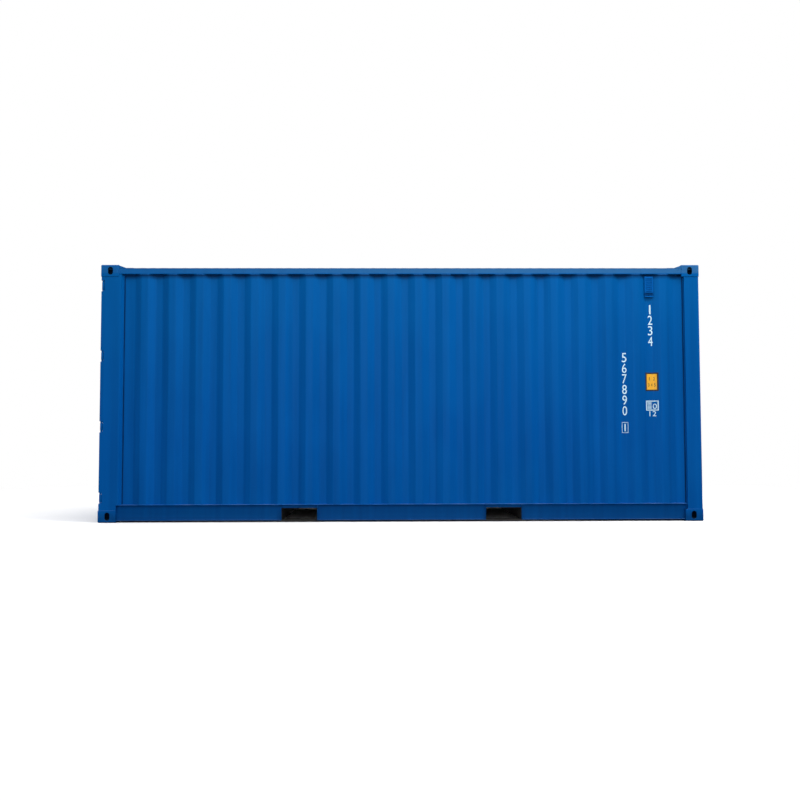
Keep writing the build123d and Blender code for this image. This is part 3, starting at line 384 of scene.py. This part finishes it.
def seal_rubber(name):
    """Extruded rubber seal: black, matt, with a grey bloom of road film."""
    material, tree, shader = new_material(name)
    bloom = clouds(tree, 60 * MM, 60 * MM, 200 * MM)
    tree.links.new(coated(tree, RUBBER, RUBBER_BLOOM, bloom, 0.45, 0.75, 0.4), shader.inputs["Base Color"])
    roughen(tree, shader, bloom, 0.45, 0.75, 0.55, 0.75)
    return material


def joint_sealant(name):
    """Sealant in the corner of wall and post, painted over: dark with dirt and with the corner's painted
    shade.
    """
    material, tree, shader = new_material(name)
    washed = clouds(tree, 30 * MM, 30 * MM, 300 * MM)
    # Dark colour: dirt, and painted shade of the corner
    tree.links.new(coated(tree, DIRT_AND_SHADE, BLUE_DEEP, washed, 0.4, 0.8, 0.6), shader.inputs["Base Color"])
    shader.inputs["Roughness"].default_value = 0.6
    shader.inputs["Specular IOR Level"].default_value = PAINT_SHEEN
    return material


def vent_plastic(name):
    """Moulded ventilator, sprayed over with the wall: blue, with painted shade under its hood and at its
    mouth.
    """
    material, tree, shader = new_material(name)
    place = add(tree, "ShaderNodeTexCoord").outputs
    facing = add(tree, "ShaderNodeSeparateXYZ", (place["Normal"],)).outputs["Z"]
    height = add(tree, "ShaderNodeSeparateXYZ", (place["Object"],)).outputs["Z"]
    speck = clouds(tree, 18 * MM, 18 * MM, 40 * MM, 4.0)
    colour = coated(tree, BLUE, BLUE_FADED, speck, 0.35, 0.75, 0.4)
    # Painted shade on the faces under the hood
    colour = coated(tree, colour, VENT_UNDERSIDE_SHADE, facing, -0.2, -0.7)
    # Painted shade at the open mouth, low on the ventilator
    below_hood = (height, MOUTH_HIGH, MOUTH_HIGH - 18 * MM, 0.0, 0.8)
    mouth = add(tree, "ShaderNodeMapRange", below_hood).outputs["Result"]
    colour = coated(tree, colour, DIRT_AND_SHADE, height, MOUTH_LOW, MOUTH_LOW + 12 * MM, mouth)
    tree.links.new(colour, shader.inputs["Base Color"])
    roughen(tree, shader, speck, 0.2, 0.8, 0.45, 0.6)
    shader.inputs["Specular IOR Level"].default_value = PAINT_SHEEN
    return material


def cut_vinyl(name, colour):
    """Cast vinyl film, cut and stuck on: even colour, slightly glossier than the paint, greyed by rain."""
    material, tree, shader = new_material(name)
    grime = clouds(tree, 25 * MM, 25 * MM, 60 * MM, 4.0)
    tree.links.new(coated(tree, colour, VINYL_GRIME, grime, 0.5, 0.85, 0.3), shader.inputs["Base Color"])
    roughen(tree, shader, grime, 0.5, 0.85, 0.35, 0.6)
    shader.inputs["Specular IOR Level"].default_value = 0.2
    return material


paint = container_paint("satin_container_paint")
paint_right_wall = container_paint("satin_container_paint_right_wall", (0.0, 1.0, 0.0), rail_shadow=True)
paint_left_wall = container_paint("satin_container_paint_left_wall", (0.0, -1.0, 0.0), rail_shadow=True)
paint_roof = container_paint("satin_container_paint_roof", (0.0, 0.0, -1.0))
paint_front_wall = container_paint("satin_container_paint_front_wall", (-1.0, 0.0, 0.0), rail_shadow=True)
paint_door = container_paint("satin_container_paint_door", (1.0, 0.0, 0.0))
paint_casting = container_paint("satin_container_paint_casting", hollow=True)
seal_black = underseal("bitumen_underseal")
gear = painted_zinc("painted_galvanised_steel")
zinc = bare_zinc("galvanised_steel")
wood = floor_plywood("oiled_plywood")
rubber = seal_rubber("extruded_rubber")
vent_blue = vent_plastic("painted_moulded_plastic")
sealant = joint_sealant("dirt_and_shade_joint_sealant")
white_film = cut_vinyl("white_cast_vinyl", VINYL_WHITE)
yellow_film = cut_vinyl("yellow_cast_vinyl", VINYL_YELLOW)
black_film = cut_vinyl("black_cast_vinyl", VINYL_BLACK)


def finish_for(name):
    """Material of a CAD node, by what the real piece is made of."""
    kinds = (
        ("seal", rubber),
        ("floor_boards", wood),
        ("ventilators", vent_blue),
        ("crossmembers", seal_black),
        ("fork_pockets", seal_black),
        ("lock_bars", gear),
        ("lock_handles", gear),
        ("handle_catches", gear),
        ("bar_brackets", gear),
        ("cam_keepers", gear),
        ("corner_fitting", paint_casting),
        ("side_wall_right", paint_right_wall),
        ("side_wall_left", paint_left_wall),
        ("front_wall", paint_front_wall),
        ("_panel", paint_door),
        ("roof", paint_roof),
    )
    return next((finish for word, finish in kinds if word in name), paint)


for name, node in nodes.items():
    node.data.materials.clear()
    node.data.materials.append(finish_for(name))


# Meshes

def new_piece(name, vertices, faces, material, body="frame", slot=None, smooth=True):
    """Mesh piece in the row frame that rides on a body."""
    mesh = bpy.data.meshes.new(name)
    mesh.from_pydata([tuple(v) for v in vertices], [], faces)
    mesh.validate()
    mesh.polygons.foreach_set("use_smooth", [smooth] * len(mesh.polygons))
    mesh.set_sharp_from_angle(angle=SHARP_ANGLE)
    mesh.materials.append(material)
    piece = bpy.data.objects.new(name, mesh)
    scene.collection.objects.link(piece)
    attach(piece, body)
    return piece


def body_of(name):
    """Body that carries a CAD node."""
    return next((body for body in ("door_right", "door_left") if name.startswith(body)), "frame")


def rounded(points, radius, steps):
    """Line through the points with each corner turned into an arc of steps runs."""
    line = [Vector(points[0])]
    for before, corner, after in zip(points, points[1:], points[2:]):
        corner = Vector(corner)
        to_before, to_after = Vector(before) - corner, Vector(after) - corner
        turn = to_before.angle(-to_after)
        if turn < 0.01:
            continue
        cut = min(radius * math.tan(turn / 2), 0.45 * to_before.length, 0.45 * to_after.length)
        start = corner + to_before.normalized() * cut
        stop = corner + to_after.normalized() * cut
        middle = (to_before.normalized() + to_after.normalized()).normalized()
        reach = cut / math.sin(turn / 2)
        centre = corner + middle * reach
        first, last = (start - centre).normalized(), (stop - centre).normalized()
        radius_here = (start - centre).length
        for k in range(steps + 1):
            line.append(centre + first.slerp(last, k / steps) * radius_here)
    line.append(Vector(points[-1]))
    return line


def thickened(line, thickness):
    """Second line at a distance to the left of the first, square at its ends."""
    second = []
    for k, point in enumerate(line):
        before = line[max(k - 1, 0)]
        after = line[min(k + 1, len(line) - 1)]
        if k in (0, len(line) - 1):
            along = (after - before).normalized()
            side = Vector((-along.y, along.x))
            second.append(point + side * thickness)
            continue
        one = (point - before).normalized()
        two = (after - point).normalized()
        mean = (one + two).normalized()
        side = Vector((-mean.y, mean.x))
        second.append(point + side * thickness / max(mean.dot(one), 0.3))
    return second


def fold_corners(name, along, across, outward):
    """Corners of a folded CAD sheet's outer face, and where and how high it is notched."""
    level = 3 - along - across
    low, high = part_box(name)
    points = [vertex.co for vertex in nodes[name].data.vertices]
    corners = []
    for place in sorted((p[along], p[across]) for p in points if p[level] < low[level] + SHEET):
        if not corners or place[0] - corners[-1][0] > 2 * SHEET:
            corners.append(place)
        elif (place[1] - corners[-1][1]) * outward > 0:
            corners[-1] = place
    cut = [p for p in points if low[level] + SHEET < p[level] < high[level] - SHEET]
    notch_top = min((p[level] for p in cut), default=high[level])
    ends = [p[along] for p in cut if corners[0][0] + SHEET < p[along] < corners[-1][0] - SHEET]
    full_from = max((end for end in ends if end < 0), default=-math.inf)
    full_to = min((end for end in ends if end > 0), default=math.inf)
    return corners, notch_top, full_from, full_to


def folded_sheet(name, along, across, outward, material):
    """Sheet with rounded folds in place of a CAD sheet, whose outer face it keeps."""
    level = 3 - along - across
    low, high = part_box(name)
    corners, notch_top, full_from, full_to = fold_corners(name, along, across, outward)
    outer = rounded(corners, FOLD_RADIUS, FOLD_STEPS)
    inner = thickened(outer, -SHEET * outward)
    ring = outer + inner[::-1]
    tops = [high[level] if full_from < spot.x < full_to else notch_top for spot in outer]
    tops += tops[::-1]
    count = len(ring)
    vertices, faces = [], []
    for row in range(WALL_ROWS + 1):
        for spot, top in zip(ring, tops):
            vertex = Vector((0, 0, 0))
            vertex[along], vertex[across] = spot
            vertex[level] = low[level] + (top - low[level]) * row / WALL_ROWS
            vertices.append(vertex)
    for row in range(WALL_ROWS):
        for k in range(count):
            one, two = row * count + k, row * count + (k + 1) % count
            faces.append((one, two, two + count, one + count))
    for start in (0, WALL_ROWS * count):
        for k in range(len(outer) - 1):
            faces.append((start + k, start + k + 1, start + count - 2 - k, start + count - 1 - k))
    made = new_piece(name + "_sheet", vertices, faces, material, body_of(name), "painted_steel")
    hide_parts(name)
    return made


folded_sheet("side_wall_right", 0, 1, -1, paint_right_wall)
folded_sheet("side_wall_left", 0, 1, 1, paint_left_wall)
folded_sheet("front_wall", 1, 0, 1, paint_front_wall)
folded_sheet("door_right_panel", 2, 0, -1, paint_door)
folded_sheet("door_left_panel", 2, 0, -1, paint_door)


def soften_edges(thing, width):
    """Rounds a mesh's sharp edges, as cast and folded steel has them, so that they catch the light."""
    weld = thing.modifiers.new("weld", "WELD")
    weld.merge_threshold = MERGE
    edges = thing.modifiers.new("round_edges", "BEVEL")
    edges.width = width
    edges.segments = 2
    edges.limit_method = "ANGLE"
    edges.angle_limit = SHARP_ANGLE
    edges.harden_normals = True


def rounded_casting(name):
    """Corner casting in place of a CAD fitting, with the outer rim of its top or bottom face rounded."""
    low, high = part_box(name)
    outer_x, outer_y, outer_z = (
        (low, high)[word in name][k] for k, word in enumerate(("front", "left", "top"))
    )
    mesh = bmesh.new()
    mesh.from_mesh(nodes[name].data)
    bmesh.ops.remove_doubles(mesh, verts=mesh.verts, dist=MERGE)
    bmesh.ops.dissolve_limit(mesh, angle_limit=FLAT_ANGLE, verts=mesh.verts, edges=mesh.edges)

    def on_rim(vertex):
        to_side = min(abs(vertex.co.x - outer_x), abs(vertex.co.y - outer_y))
        return abs(vertex.co.z - outer_z) < ON_FACE and to_side < CASTING_CORNER

    def is_rim(edge):
        sharp = len(edge.link_faces) == 2 and edge.calc_face_angle() > RIM_ANGLE
        return sharp and all(on_rim(vertex) for vertex in edge.verts)

    rim = [edge for edge in mesh.edges if is_rim(edge)]
    bmesh.ops.bevel(mesh, geom=rim, offset=CASTING_RADIUS, segments=3, profile=0.5, affect="EDGES")
    mesh.verts.index_update()
    vertices = [vertex.co.copy() for vertex in mesh.verts]
    faces = [tuple(vertex.index for vertex in face.verts) for face in mesh.faces]
    mesh.free()
    made = new_piece(name + "_casting", vertices, faces, paint_casting, slot="painted_steel")
    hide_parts(name)
    soften_edges(made, CASTING_EDGE)


for name, node in nodes.items():
    if name.startswith("corner_fitting"):
        rounded_casting(name)
    elif finish_for(name) in (paint, gear):
        soften_edges(node, SECTION_EDGE)


# Weld beads, bolts and screws

def even_steps(points, step):
    """Points along a line, about a step apart."""
    points = [Vector(p) for p in points]
    places = [points[0]]
    for one, two in zip(points, points[1:]):
        count = max(1, round((two - one).length / step))
        places += [one.lerp(two, k / count) for k in range(1, count + 1)]
    return places


def bead_mesh(lines, radius, step=BEAD_STEP, ripples=BEAD_RIPPLE):
    """Vertices and faces of rippled round beads, one along each line."""
    vertices, faces = [], []
    for line in lines:
        spine = even_steps(line, step)
        first = len(vertices)
        for k, spot in enumerate(spine):
            along = (spine[min(k + 1, len(spine) - 1)] - spine[max(k - 1, 0)]).normalized()
            side = along.orthogonal().normalized()
            up = along.cross(side)
            ripple = radius * (1 + ripples * (math.sin(1.9 * k) + rng.uniform(-0.45, 0.45)))
            for turn in range(BEAD_SIDES):
                angle = 2 * math.pi * turn / BEAD_SIDES
                vertices.append(spot + ripple * (math.cos(angle) * side + math.sin(angle) * up))
        for k in range(len(spine) - 1):
            for turn in range(BEAD_SIDES):
                ring = first + k * BEAD_SIDES
                one, two = ring + turn, ring + (turn + 1) % BEAD_SIDES
                faces.append((one, two, two + BEAD_SIDES, one + BEAD_SIDES))
    return vertices, faces


def mirrored(lines, axis):
    """The lines and their mirror images across the plane through the origin square to an axis."""
    flip = Vector([-1 if k == axis else 1 for k in range(3)])
    near = [[Vector(p) for p in line] for line in lines]
    return near + [[p * flip for p in line] for line in near]


def add_beads():
    """Welds of the walls to rails and posts, of the posts to the fittings, and of the roof."""
    wall_low, wall_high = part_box("side_wall_right")
    for side, outward in (("right", -1), ("left", 1)):
        corners = fold_corners(f"side_wall_{side}", 0, 1, outward)[0]
        folds = rounded(corners, FOLD_RADIUS, 1)
        lines = [
            [(spot.x, spot.y + outward * WALL_BEAD_OFFSET, z) for spot in folds]
            for z in (wall_low.z + WALL_BEAD_OFFSET, wall_high.z - WALL_BEAD_OFFSET)
        ]
        new_piece(f"wall_welds_{side}", *bead_mesh(lines, WALL_BEAD), paint, slot="painted_steel")
        # Dark sealant beads in the wall's end corners, coloured as dirt and painted shade
        joints = []
        for end, inward in ((corners[0], 1), (corners[-1], -1)):
            x = end[0] + inward * 0.5 * JOINT_BEAD
            joints.append([(x, end[1], z) for z in (wall_low.z + JOINT_BEAD, wall_high.z - JOINT_BEAD)])
        beads = bead_mesh(joints, JOINT_BEAD, 8 * BEAD_STEP, SEALANT_RIPPLE)
        new_piece(f"wall_joints_{side}", *beads, sealant, slot="painted_steel")

    for name, sign in (("rear", -1), ("front", 1)):
        post_low, post_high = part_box(f"{name}_post_right")
        fitting_low, fitting_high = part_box(f"corner_fitting_{name}_right_bottom")
        inner_x = max(fitting_low.x, post_low.x) if sign > 0 else min(fitting_high.x, post_high.x)
        outer_x = post_high.x if sign > 0 else post_low.x
        outline = [
            (inner_x, post_low.y),
            (outer_x - sign * POST_CORNER, post_low.y),
            (outer_x, post_low.y + POST_CORNER),
            (outer_x, post_low.y + POST_WELD_REACH[name]),
        ]
        levels = (fitting_high.z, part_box(f"corner_fitting_{name}_right_top")[0].z)
        lines = mirrored([[(x, y, z) for x, y in outline] for z in levels], 1)
        new_piece(f"{name}_post_welds", *bead_mesh(lines, POST_BEAD), paint, slot="painted_steel")

    rail_low, rail_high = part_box("top_side_rail_right")
    ends = (rail_low.x, rail_high.x)
    lines = [[(x, rail_low.y + ROOF_WELD_FROM_EDGE, rail_high.z + SHEET) for x in ends]]
    beads = bead_mesh(mirrored(lines, 1), WALL_BEAD, 4 * BEAD_STEP)
    new_piece("roof_welds", *beads, paint, slot="painted_steel")

    foot_low, foot_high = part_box("bottom_side_rail_right")
    web_y = foot_low.y + RAIL_WEB_DEPTH
    levels = (foot_low.z + SEAM_FROM_EDGE, foot_high.z - SEAM_FROM_EDGE)
    seam = [[(RAIL_SEAM_X, web_y, z) for z in levels]]
    new_piece("bottom_rail_seams", *bead_mesh(mirrored(seam, 1), SEAM_BEAD), paint, slot="painted_steel")


def screw_mesh(places, axis, radius, height, sides=6):
    """Vertices and faces of low prisms, such as bolt heads, that stand on places along an axis."""
    axis = Vector(axis)
    one = axis.orthogonal().normalized()
    two = axis.cross(one)
    vertices, faces = [], []
    for place in places:
        first = len(vertices)
        for rise, share in ((0, 1), (0.75 * height, 1), (height, 0.82)):
            for k in range(sides):
                angle = 2 * math.pi * k / sides
                spot = share * radius * (math.cos(angle) * one + math.sin(angle) * two)
                vertices.append(Vector(place) + rise * axis + spot)
        for ring in (0, sides):
            for k in range(sides):
                near, far = first + ring + k, first + ring + (k + 1) % sides
                faces.append((near, far, far + sides, near + sides))
        faces.append(tuple(first + 2 * sides + k for k in range(sides)))
    return vertices, faces


def islands(name):
    """Low and high corners of each loose piece of a CAD node."""
    mesh = bmesh.new()
    mesh.from_mesh(nodes[name].data)
    bmesh.ops.remove_doubles(mesh, verts=mesh.verts, dist=MERGE)
    left, boxes = set(mesh.verts), []
    while left:
        group, queue = set(), [left.pop()]
        while queue:
            vertex = queue.pop()
            group.add(vertex)
            for edge in vertex.link_edges:
                other = edge.other_vert(vertex)
                if other in left:
                    left.remove(other)
                    queue.append(other)
        spots = [vertex.co for vertex in group]
        boxes.append([Vector([pick(p[k] for p in spots) for k in range(3)]) for pick in (min, max)])
    mesh.free()
    return boxes


def add_fasteners():
    """Bolts of the bar brackets, screws of the floor and rivets of the ventilators."""
    for side in ("right", "left"):
        heads = []
        for low, high in islands(f"door_{side}_bar_brackets"):
            for y in (low.y + BRACKET_BOLT_FROM_END, high.y - BRACKET_BOLT_FROM_END):
                heads.append((high.x - BRACKET_SHEET, y, (low.z + high.z) / 2))
        vertices, faces = screw_mesh(heads, (-1, 0, 0), *BRACKET_BOLT)
        name, body = f"door_{side}_bracket_bolts", f"door_{side}"
        new_piece(name, vertices, faces, zinc, body, "lock_gear_steel", False)

    low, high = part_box("floor_boards")
    beams = islands("crossmembers")
    rows = sorted({round((box[0].x + box[1].x) / 2, 3) for box in beams if box[0].x > low.x})
    spots = []
    for x in rows:
        for share in FLOOR_SCREW_SHARES:
            for sign in (-1, 1):
                spots.append((x, sign * share * high.y, high.z))
    vertices, faces = screw_mesh(spots, (0, 0, 1), *FLOOR_SCREW, 10)
    new_piece("floor_screws", vertices, faces, zinc, slot="floor_plywood", smooth=False)

    spots = {-1: [], 1: []}
    for low, high in islands("ventilators"):
        sign = 1 if low.y > 0 else -1
        face = high.y if sign > 0 else low.y
        for x in (low.x + RIVET_FROM_EDGE, high.x - RIVET_FROM_EDGE):
            for z in (low.z + RIVET_FROM_EDGE, high.z - RIVET_FROM_EDGE):
                spots[sign].append((x, face, z))
    for sign, side in ((-1, "right"), (1, "left")):
        vertices, faces = screw_mesh(spots[sign], (0, sign, 0), *RIVET, 8)
        new_piece(f"ventilator_rivets_{side}", vertices, faces, paint, slot="vent_plastic")


add_beads()
add_fasteners()


# Markings on the photographed wall: plain figures and two plain plates

wall_line = rounded(fold_corners("side_wall_right", 0, 1, -1)[0], FOLD_RADIUS, FOLD_STEPS)


def wall_face(x):
    """Place across the container of the photographed wall's outer face at x."""
    for one, two in zip(wall_line, wall_line[1:]):
        if one.x <= x <= two.x:
            return one.y + (two.y - one.y) * (x - one.x) / max(two.x - one.x, 1e-9)
    return wall_line[-1].y


def film_patch(name, low, high, material, lift=FILM):
    """Rectangle of film on the wall between two (x, z) corners, pressed into its folds."""
    folds = [spot.x for spot in wall_line if low[0] < spot.x < high[0]]
    places = [low[0]] + folds + [high[0]]
    vertices = [(x, wall_face(x) - lift, z) for z in (low[1], high[1]) for x in places]
    count = len(places)
    faces = [(k, k + 1, count + k + 1, count + k) for k in range(count - 1)]
    return new_piece(name, vertices, faces, material, slot="painted_steel")


def film_frame(name, low, high, thickness, material):
    """Four strips of film that make a rectangular frame."""
    bars = {
        "foot": (low, (high[0], low[1] + thickness)),
        "head": ((low[0], high[1] - thickness), high),
        "rear": ((low[0], low[1] + thickness), (low[0] + thickness, high[1] - thickness)),
        "front": ((high[0] - thickness, low[1] + thickness), (high[0], high[1] - thickness)),
    }
    for side, (start, stop) in bars.items():
        film_patch(f"{name}_{side}", start, stop, material)


def figure(name, sign, middle, width, height, material, lift=FILM):
    """Plain figure cut from film, centred at (x, z) on a flat of the wall."""
    curve = bpy.data.curves.new(name, "FONT")
    curve.body = sign
    curve.resolution_u = 4
    source = bpy.data.objects.new(name + "_outline", curve)
    scene.collection.objects.link(source)
    mesh = bpy.data.meshes.new_from_object(source.evaluated_get(bpy.context.evaluated_depsgraph_get()))
    bpy.data.objects.remove(source)
    spots = [v.co for v in mesh.vertices]
    low = Vector((min(p.x for p in spots), min(p.y for p in spots)))
    high = Vector((max(p.x for p in spots), max(p.y for p in spots)))
    centre, span = (low + high) / 2, high - low
    scale_x, scale_z = min(width / span.x, FIGURE_WIDENING * height / span.y), height / span.y
    vertices = []
    for p in spots:
        x = middle[0] + (p.x - centre.x) * scale_x
        vertices.append((x, wall_face(x) - lift, middle[1] + (p.y - centre.y) * scale_z))
    faces = [tuple(polygon.vertices) for polygon in mesh.polygons]
    bpy.data.meshes.remove(mesh)
    return new_piece(name, vertices, faces, material, slot="painted_steel")


def recess_middles():
    """Middles along the container of the wall's recess flats."""
    corners = fold_corners("side_wall_right", 0, 1, -1)[0]
    inmost = max(place[1] for place in corners)
    pairs = zip(corners, corners[1:])
    return [(one[0] + two[0]) / 2 for one, two in pairs if min(one[1], two[1]) > inmost - SHEET]


def film_bars(name, low, high, count, material):
    """Even level bars of film between two (x, z) corners, each as thick as the gap beside it."""
    step = (high[1] - low[1]) / (2 * count - 1)
    for k in range(count):
        z = low[1] + 2 * k * step
        film_patch(f"{name}_{k + 1}", (low[0], z), (high[0], z + step), material)


def around(x, z, size, border=0.0):
    """Low and high (x, z) corners of a rectangle around a middle, drawn in by a border."""
    half, tall = size[0] / 2 - border, size[1] / 2 - border
    return (x - half, z - tall), (x + half, z + tall)


def add_markings():
    """Two columns of plain figures, a boxed figure, a yellow plate and a white plate."""
    upright = recess_middles()
    type_x, number_x = upright[-2] + TYPE_SHIFT, upright[-3] + NUMBER_SHIFT
    plate_x = upright[-2] + PLATE_SHIFT
    for k, sign in enumerate("1234"):
        place = (type_x, FIRST_TYPE_Z - k * FIGURE_PITCH)
        figure(f"type_figure_{k + 1}", sign, place, FIGURE_WIDTH, FIGURE_HEIGHT, white_film)
    for k, sign in enumerate("567890"):
        place = (number_x, FIRST_NUMBER_Z - k * FIGURE_PITCH)
        figure(f"number_figure_{k + 1}", sign, place, FIGURE_WIDTH, FIGURE_HEIGHT, white_film)
    film_frame("boxed_figure", *around(number_x, BOX_Z, BOX_SIZE), BOX_LINE, white_film)
    figure("boxed_figure_sign", "1", (number_x, BOX_Z), *BOX_FIGURE, white_film)

    film_patch("yellow_plate_back", *around(plate_x, YELLOW_Z, YELLOW_SIZE), black_film)
    inner = around(plate_x, YELLOW_Z, YELLOW_SIZE, YELLOW_BORDER)
    film_patch("yellow_plate", *inner, yellow_film, 2 * FILM)
    for row, signs in enumerate(("12", "345")):
        for k, sign in enumerate(signs):
            x = plate_x + (k - (len(signs) - 1) / 2) * YELLOW_COLUMNS / len(signs)
            z = YELLOW_Z + (0.5 - row) * YELLOW_ROWS
            figure(f"yellow_plate_figure_{sign}", sign, (x, z), *YELLOW_FIGURE, black_film, 3 * FILM)

    low, high = around(plate_x, WHITE_Z, WHITE_SIZE)
    film_frame("white_plate_frame", low, high, WHITE_LINE, white_film)
    bars = around(plate_x + WHITE_BARS_SHIFT, WHITE_Z, WHITE_BARS_SIZE)
    film_bars("white_plate_bar", *bars, WHITE_BARS, white_film)
    place = (plate_x + WHITE_FIGURE_SHIFT[0], WHITE_Z + WHITE_FIGURE_SHIFT[1])
    figure("white_plate_figure", "0", place, *WHITE_FIGURE, white_film)
    for k, sign in enumerate("12"):
        place = (plate_x + (k - 0.5) * SMALL_PITCH, low[1] - SMALL_BELOW)
        figure(f"small_figure_{k + 1}", sign, place, *SMALL_FIGURE, white_film)


add_markings()


# Camera and light

def add_camera():
    """Camera of the photo: its place, turn and focal length as fitted to the container's corners."""
    data = bpy.data.cameras.new("camera")
    data.sensor_width = SENSOR
    data.lens = CAMERA_FOCUS / PHOTO_SIZE * SENSOR
    camera = bpy.data.objects.new("camera", data)
    level = math.cos(CAMERA_PITCH)
    forward = Vector((-math.sin(CAMERA_YAW) * level, math.cos(CAMERA_YAW) * level, math.sin(CAMERA_PITCH)))
    right = Vector((math.cos(CAMERA_YAW), math.sin(CAMERA_YAW), 0))
    up = right.cross(forward)
    across = right * math.cos(CAMERA_ROLL) + up * math.sin(CAMERA_ROLL)
    upward = up * math.cos(CAMERA_ROLL) - right * math.sin(CAMERA_ROLL)
    turn = Matrix((across, upward, -forward)).transposed().to_4x4()
    camera.matrix_world = Matrix.Translation(CAMERA_PLACE) @ turn
    scene.collection.objects.link(camera)
    scene.camera = camera


def add_area_light(name, place, aim, width, height, power):
    """Soft white rectangular light that shines from place towards aim."""
    data = bpy.data.lights.new(name, "AREA")
    data.shape = "RECTANGLE"
    data.size, data.size_y = width, height
    data.energy = power
    lamp = bpy.data.objects.new(name, data)
    turn = (Vector(aim) - Vector(place)).to_track_quat("-Z", "Y").to_matrix().to_4x4()
    lamp.matrix_world = Matrix.Translation(place) @ turn
    lamp.visible_camera = False
    scene.collection.objects.link(lamp)


def shown_rays(tree):
    """1 for rays from the camera, a mirror or glass, which show the backdrop; 0 for diffuse light."""
    path = add(tree, "ShaderNodeLightPath").outputs
    eye_or_mirror = (path["Is Camera Ray"], path["Is Glossy Ray"])
    seen = add(tree, "ShaderNodeMath", eye_or_mirror, operation="MAXIMUM").outputs[0]
    or_glass = (seen, path["Is Transmission Ray"])
    return add(tree, "ShaderNodeMath", or_glass, operation="MAXIMUM").outputs[0]


def add_world():
    """White backdrop, and a soft light for the object that is stronger from above."""
    world = bpy.data.worlds.new("studio")
    scene.world = world
    world.use_nodes = True
    tree = world.node_tree
    tree.nodes.clear()
    white = linear("#ffffff")
    place = add(tree, "ShaderNodeTexCoord")
    rise = add(tree, "ShaderNodeSeparateXYZ", {"Vector": place.outputs["Generated"]}).outputs["Z"]
    strength = add(tree, "ShaderNodeMapRange", (rise, -0.5, 1.0, 0.0, SKY_TOP)).outputs["Result"]
    backdrop = add(tree, "ShaderNodeBackground", {"Color": white, "Strength": 1.0})
    sky = add(tree, "ShaderNodeBackground", {"Color": white, "Strength": strength})
    mix = add(
        tree, "ShaderNodeMixShader", {0: shown_rays(tree), 1: sky.outputs[0], 2: backdrop.outputs[0]}
    )
    add(tree, "ShaderNodeOutputWorld", {"Surface": mix.outputs[0]})


def add_floor():
    """Matt floor with the shadow, faded into the backdrop; pale to the eye, greyer as a reflector."""
    material, tree, shader = new_material("pale_studio_floor")
    shades = {0: shown_rays(tree), 6: FLOOR_BOUNCE, 7: FLOOR_PALE}
    colour = add(tree, "ShaderNodeMix", shades, data_type="RGBA").outputs[2]
    tree.links.new(colour, shader.inputs["Base Color"])
    shader.inputs["Roughness"].default_value = 0.9
    shader.inputs["Specular IOR Level"].default_value = 0.0
    place = add(tree, "ShaderNodeTexCoord")
    away = add(tree, "ShaderNodeVectorMath", {0: place.outputs["Object"]}, operation="LENGTH")
    clear = add(tree, "ShaderNodeBsdfTransparent")
    edge = (away.outputs["Value"], FLOOR_SOLID, FLOOR_RADIUS, 0.0, 1.0)
    faded = add(tree, "ShaderNodeMapRange", edge).outputs["Result"]
    mix = add(tree, "ShaderNodeMixShader", (faded, shader.outputs[0], clear.outputs[0]))
    output = next(n for n in tree.nodes if n.type == "OUTPUT_MATERIAL")
    tree.links.new(mix.outputs[0], output.inputs["Surface"])
    turns = [2 * math.pi * k / FLOOR_SIDES for k in range(FLOOR_SIDES)]
    rim = [(FLOOR_RADIUS * math.cos(turn), FLOOR_RADIUS * math.sin(turn), FLOOR_LEVEL) for turn in turns]
    mesh = bpy.data.meshes.new("studio_floor")
    mesh.from_pydata(rim, [], [tuple(range(FLOOR_SIDES))])
    mesh.materials.append(material)
    floor = bpy.data.objects.new("studio_floor", mesh)
    scene.collection.objects.link(floor)


add_world()
add_floor()
add_camera()
for lamp in LAMPS:
    add_area_light(*lamp)
scene.view_settings.view_transform = "Standard"
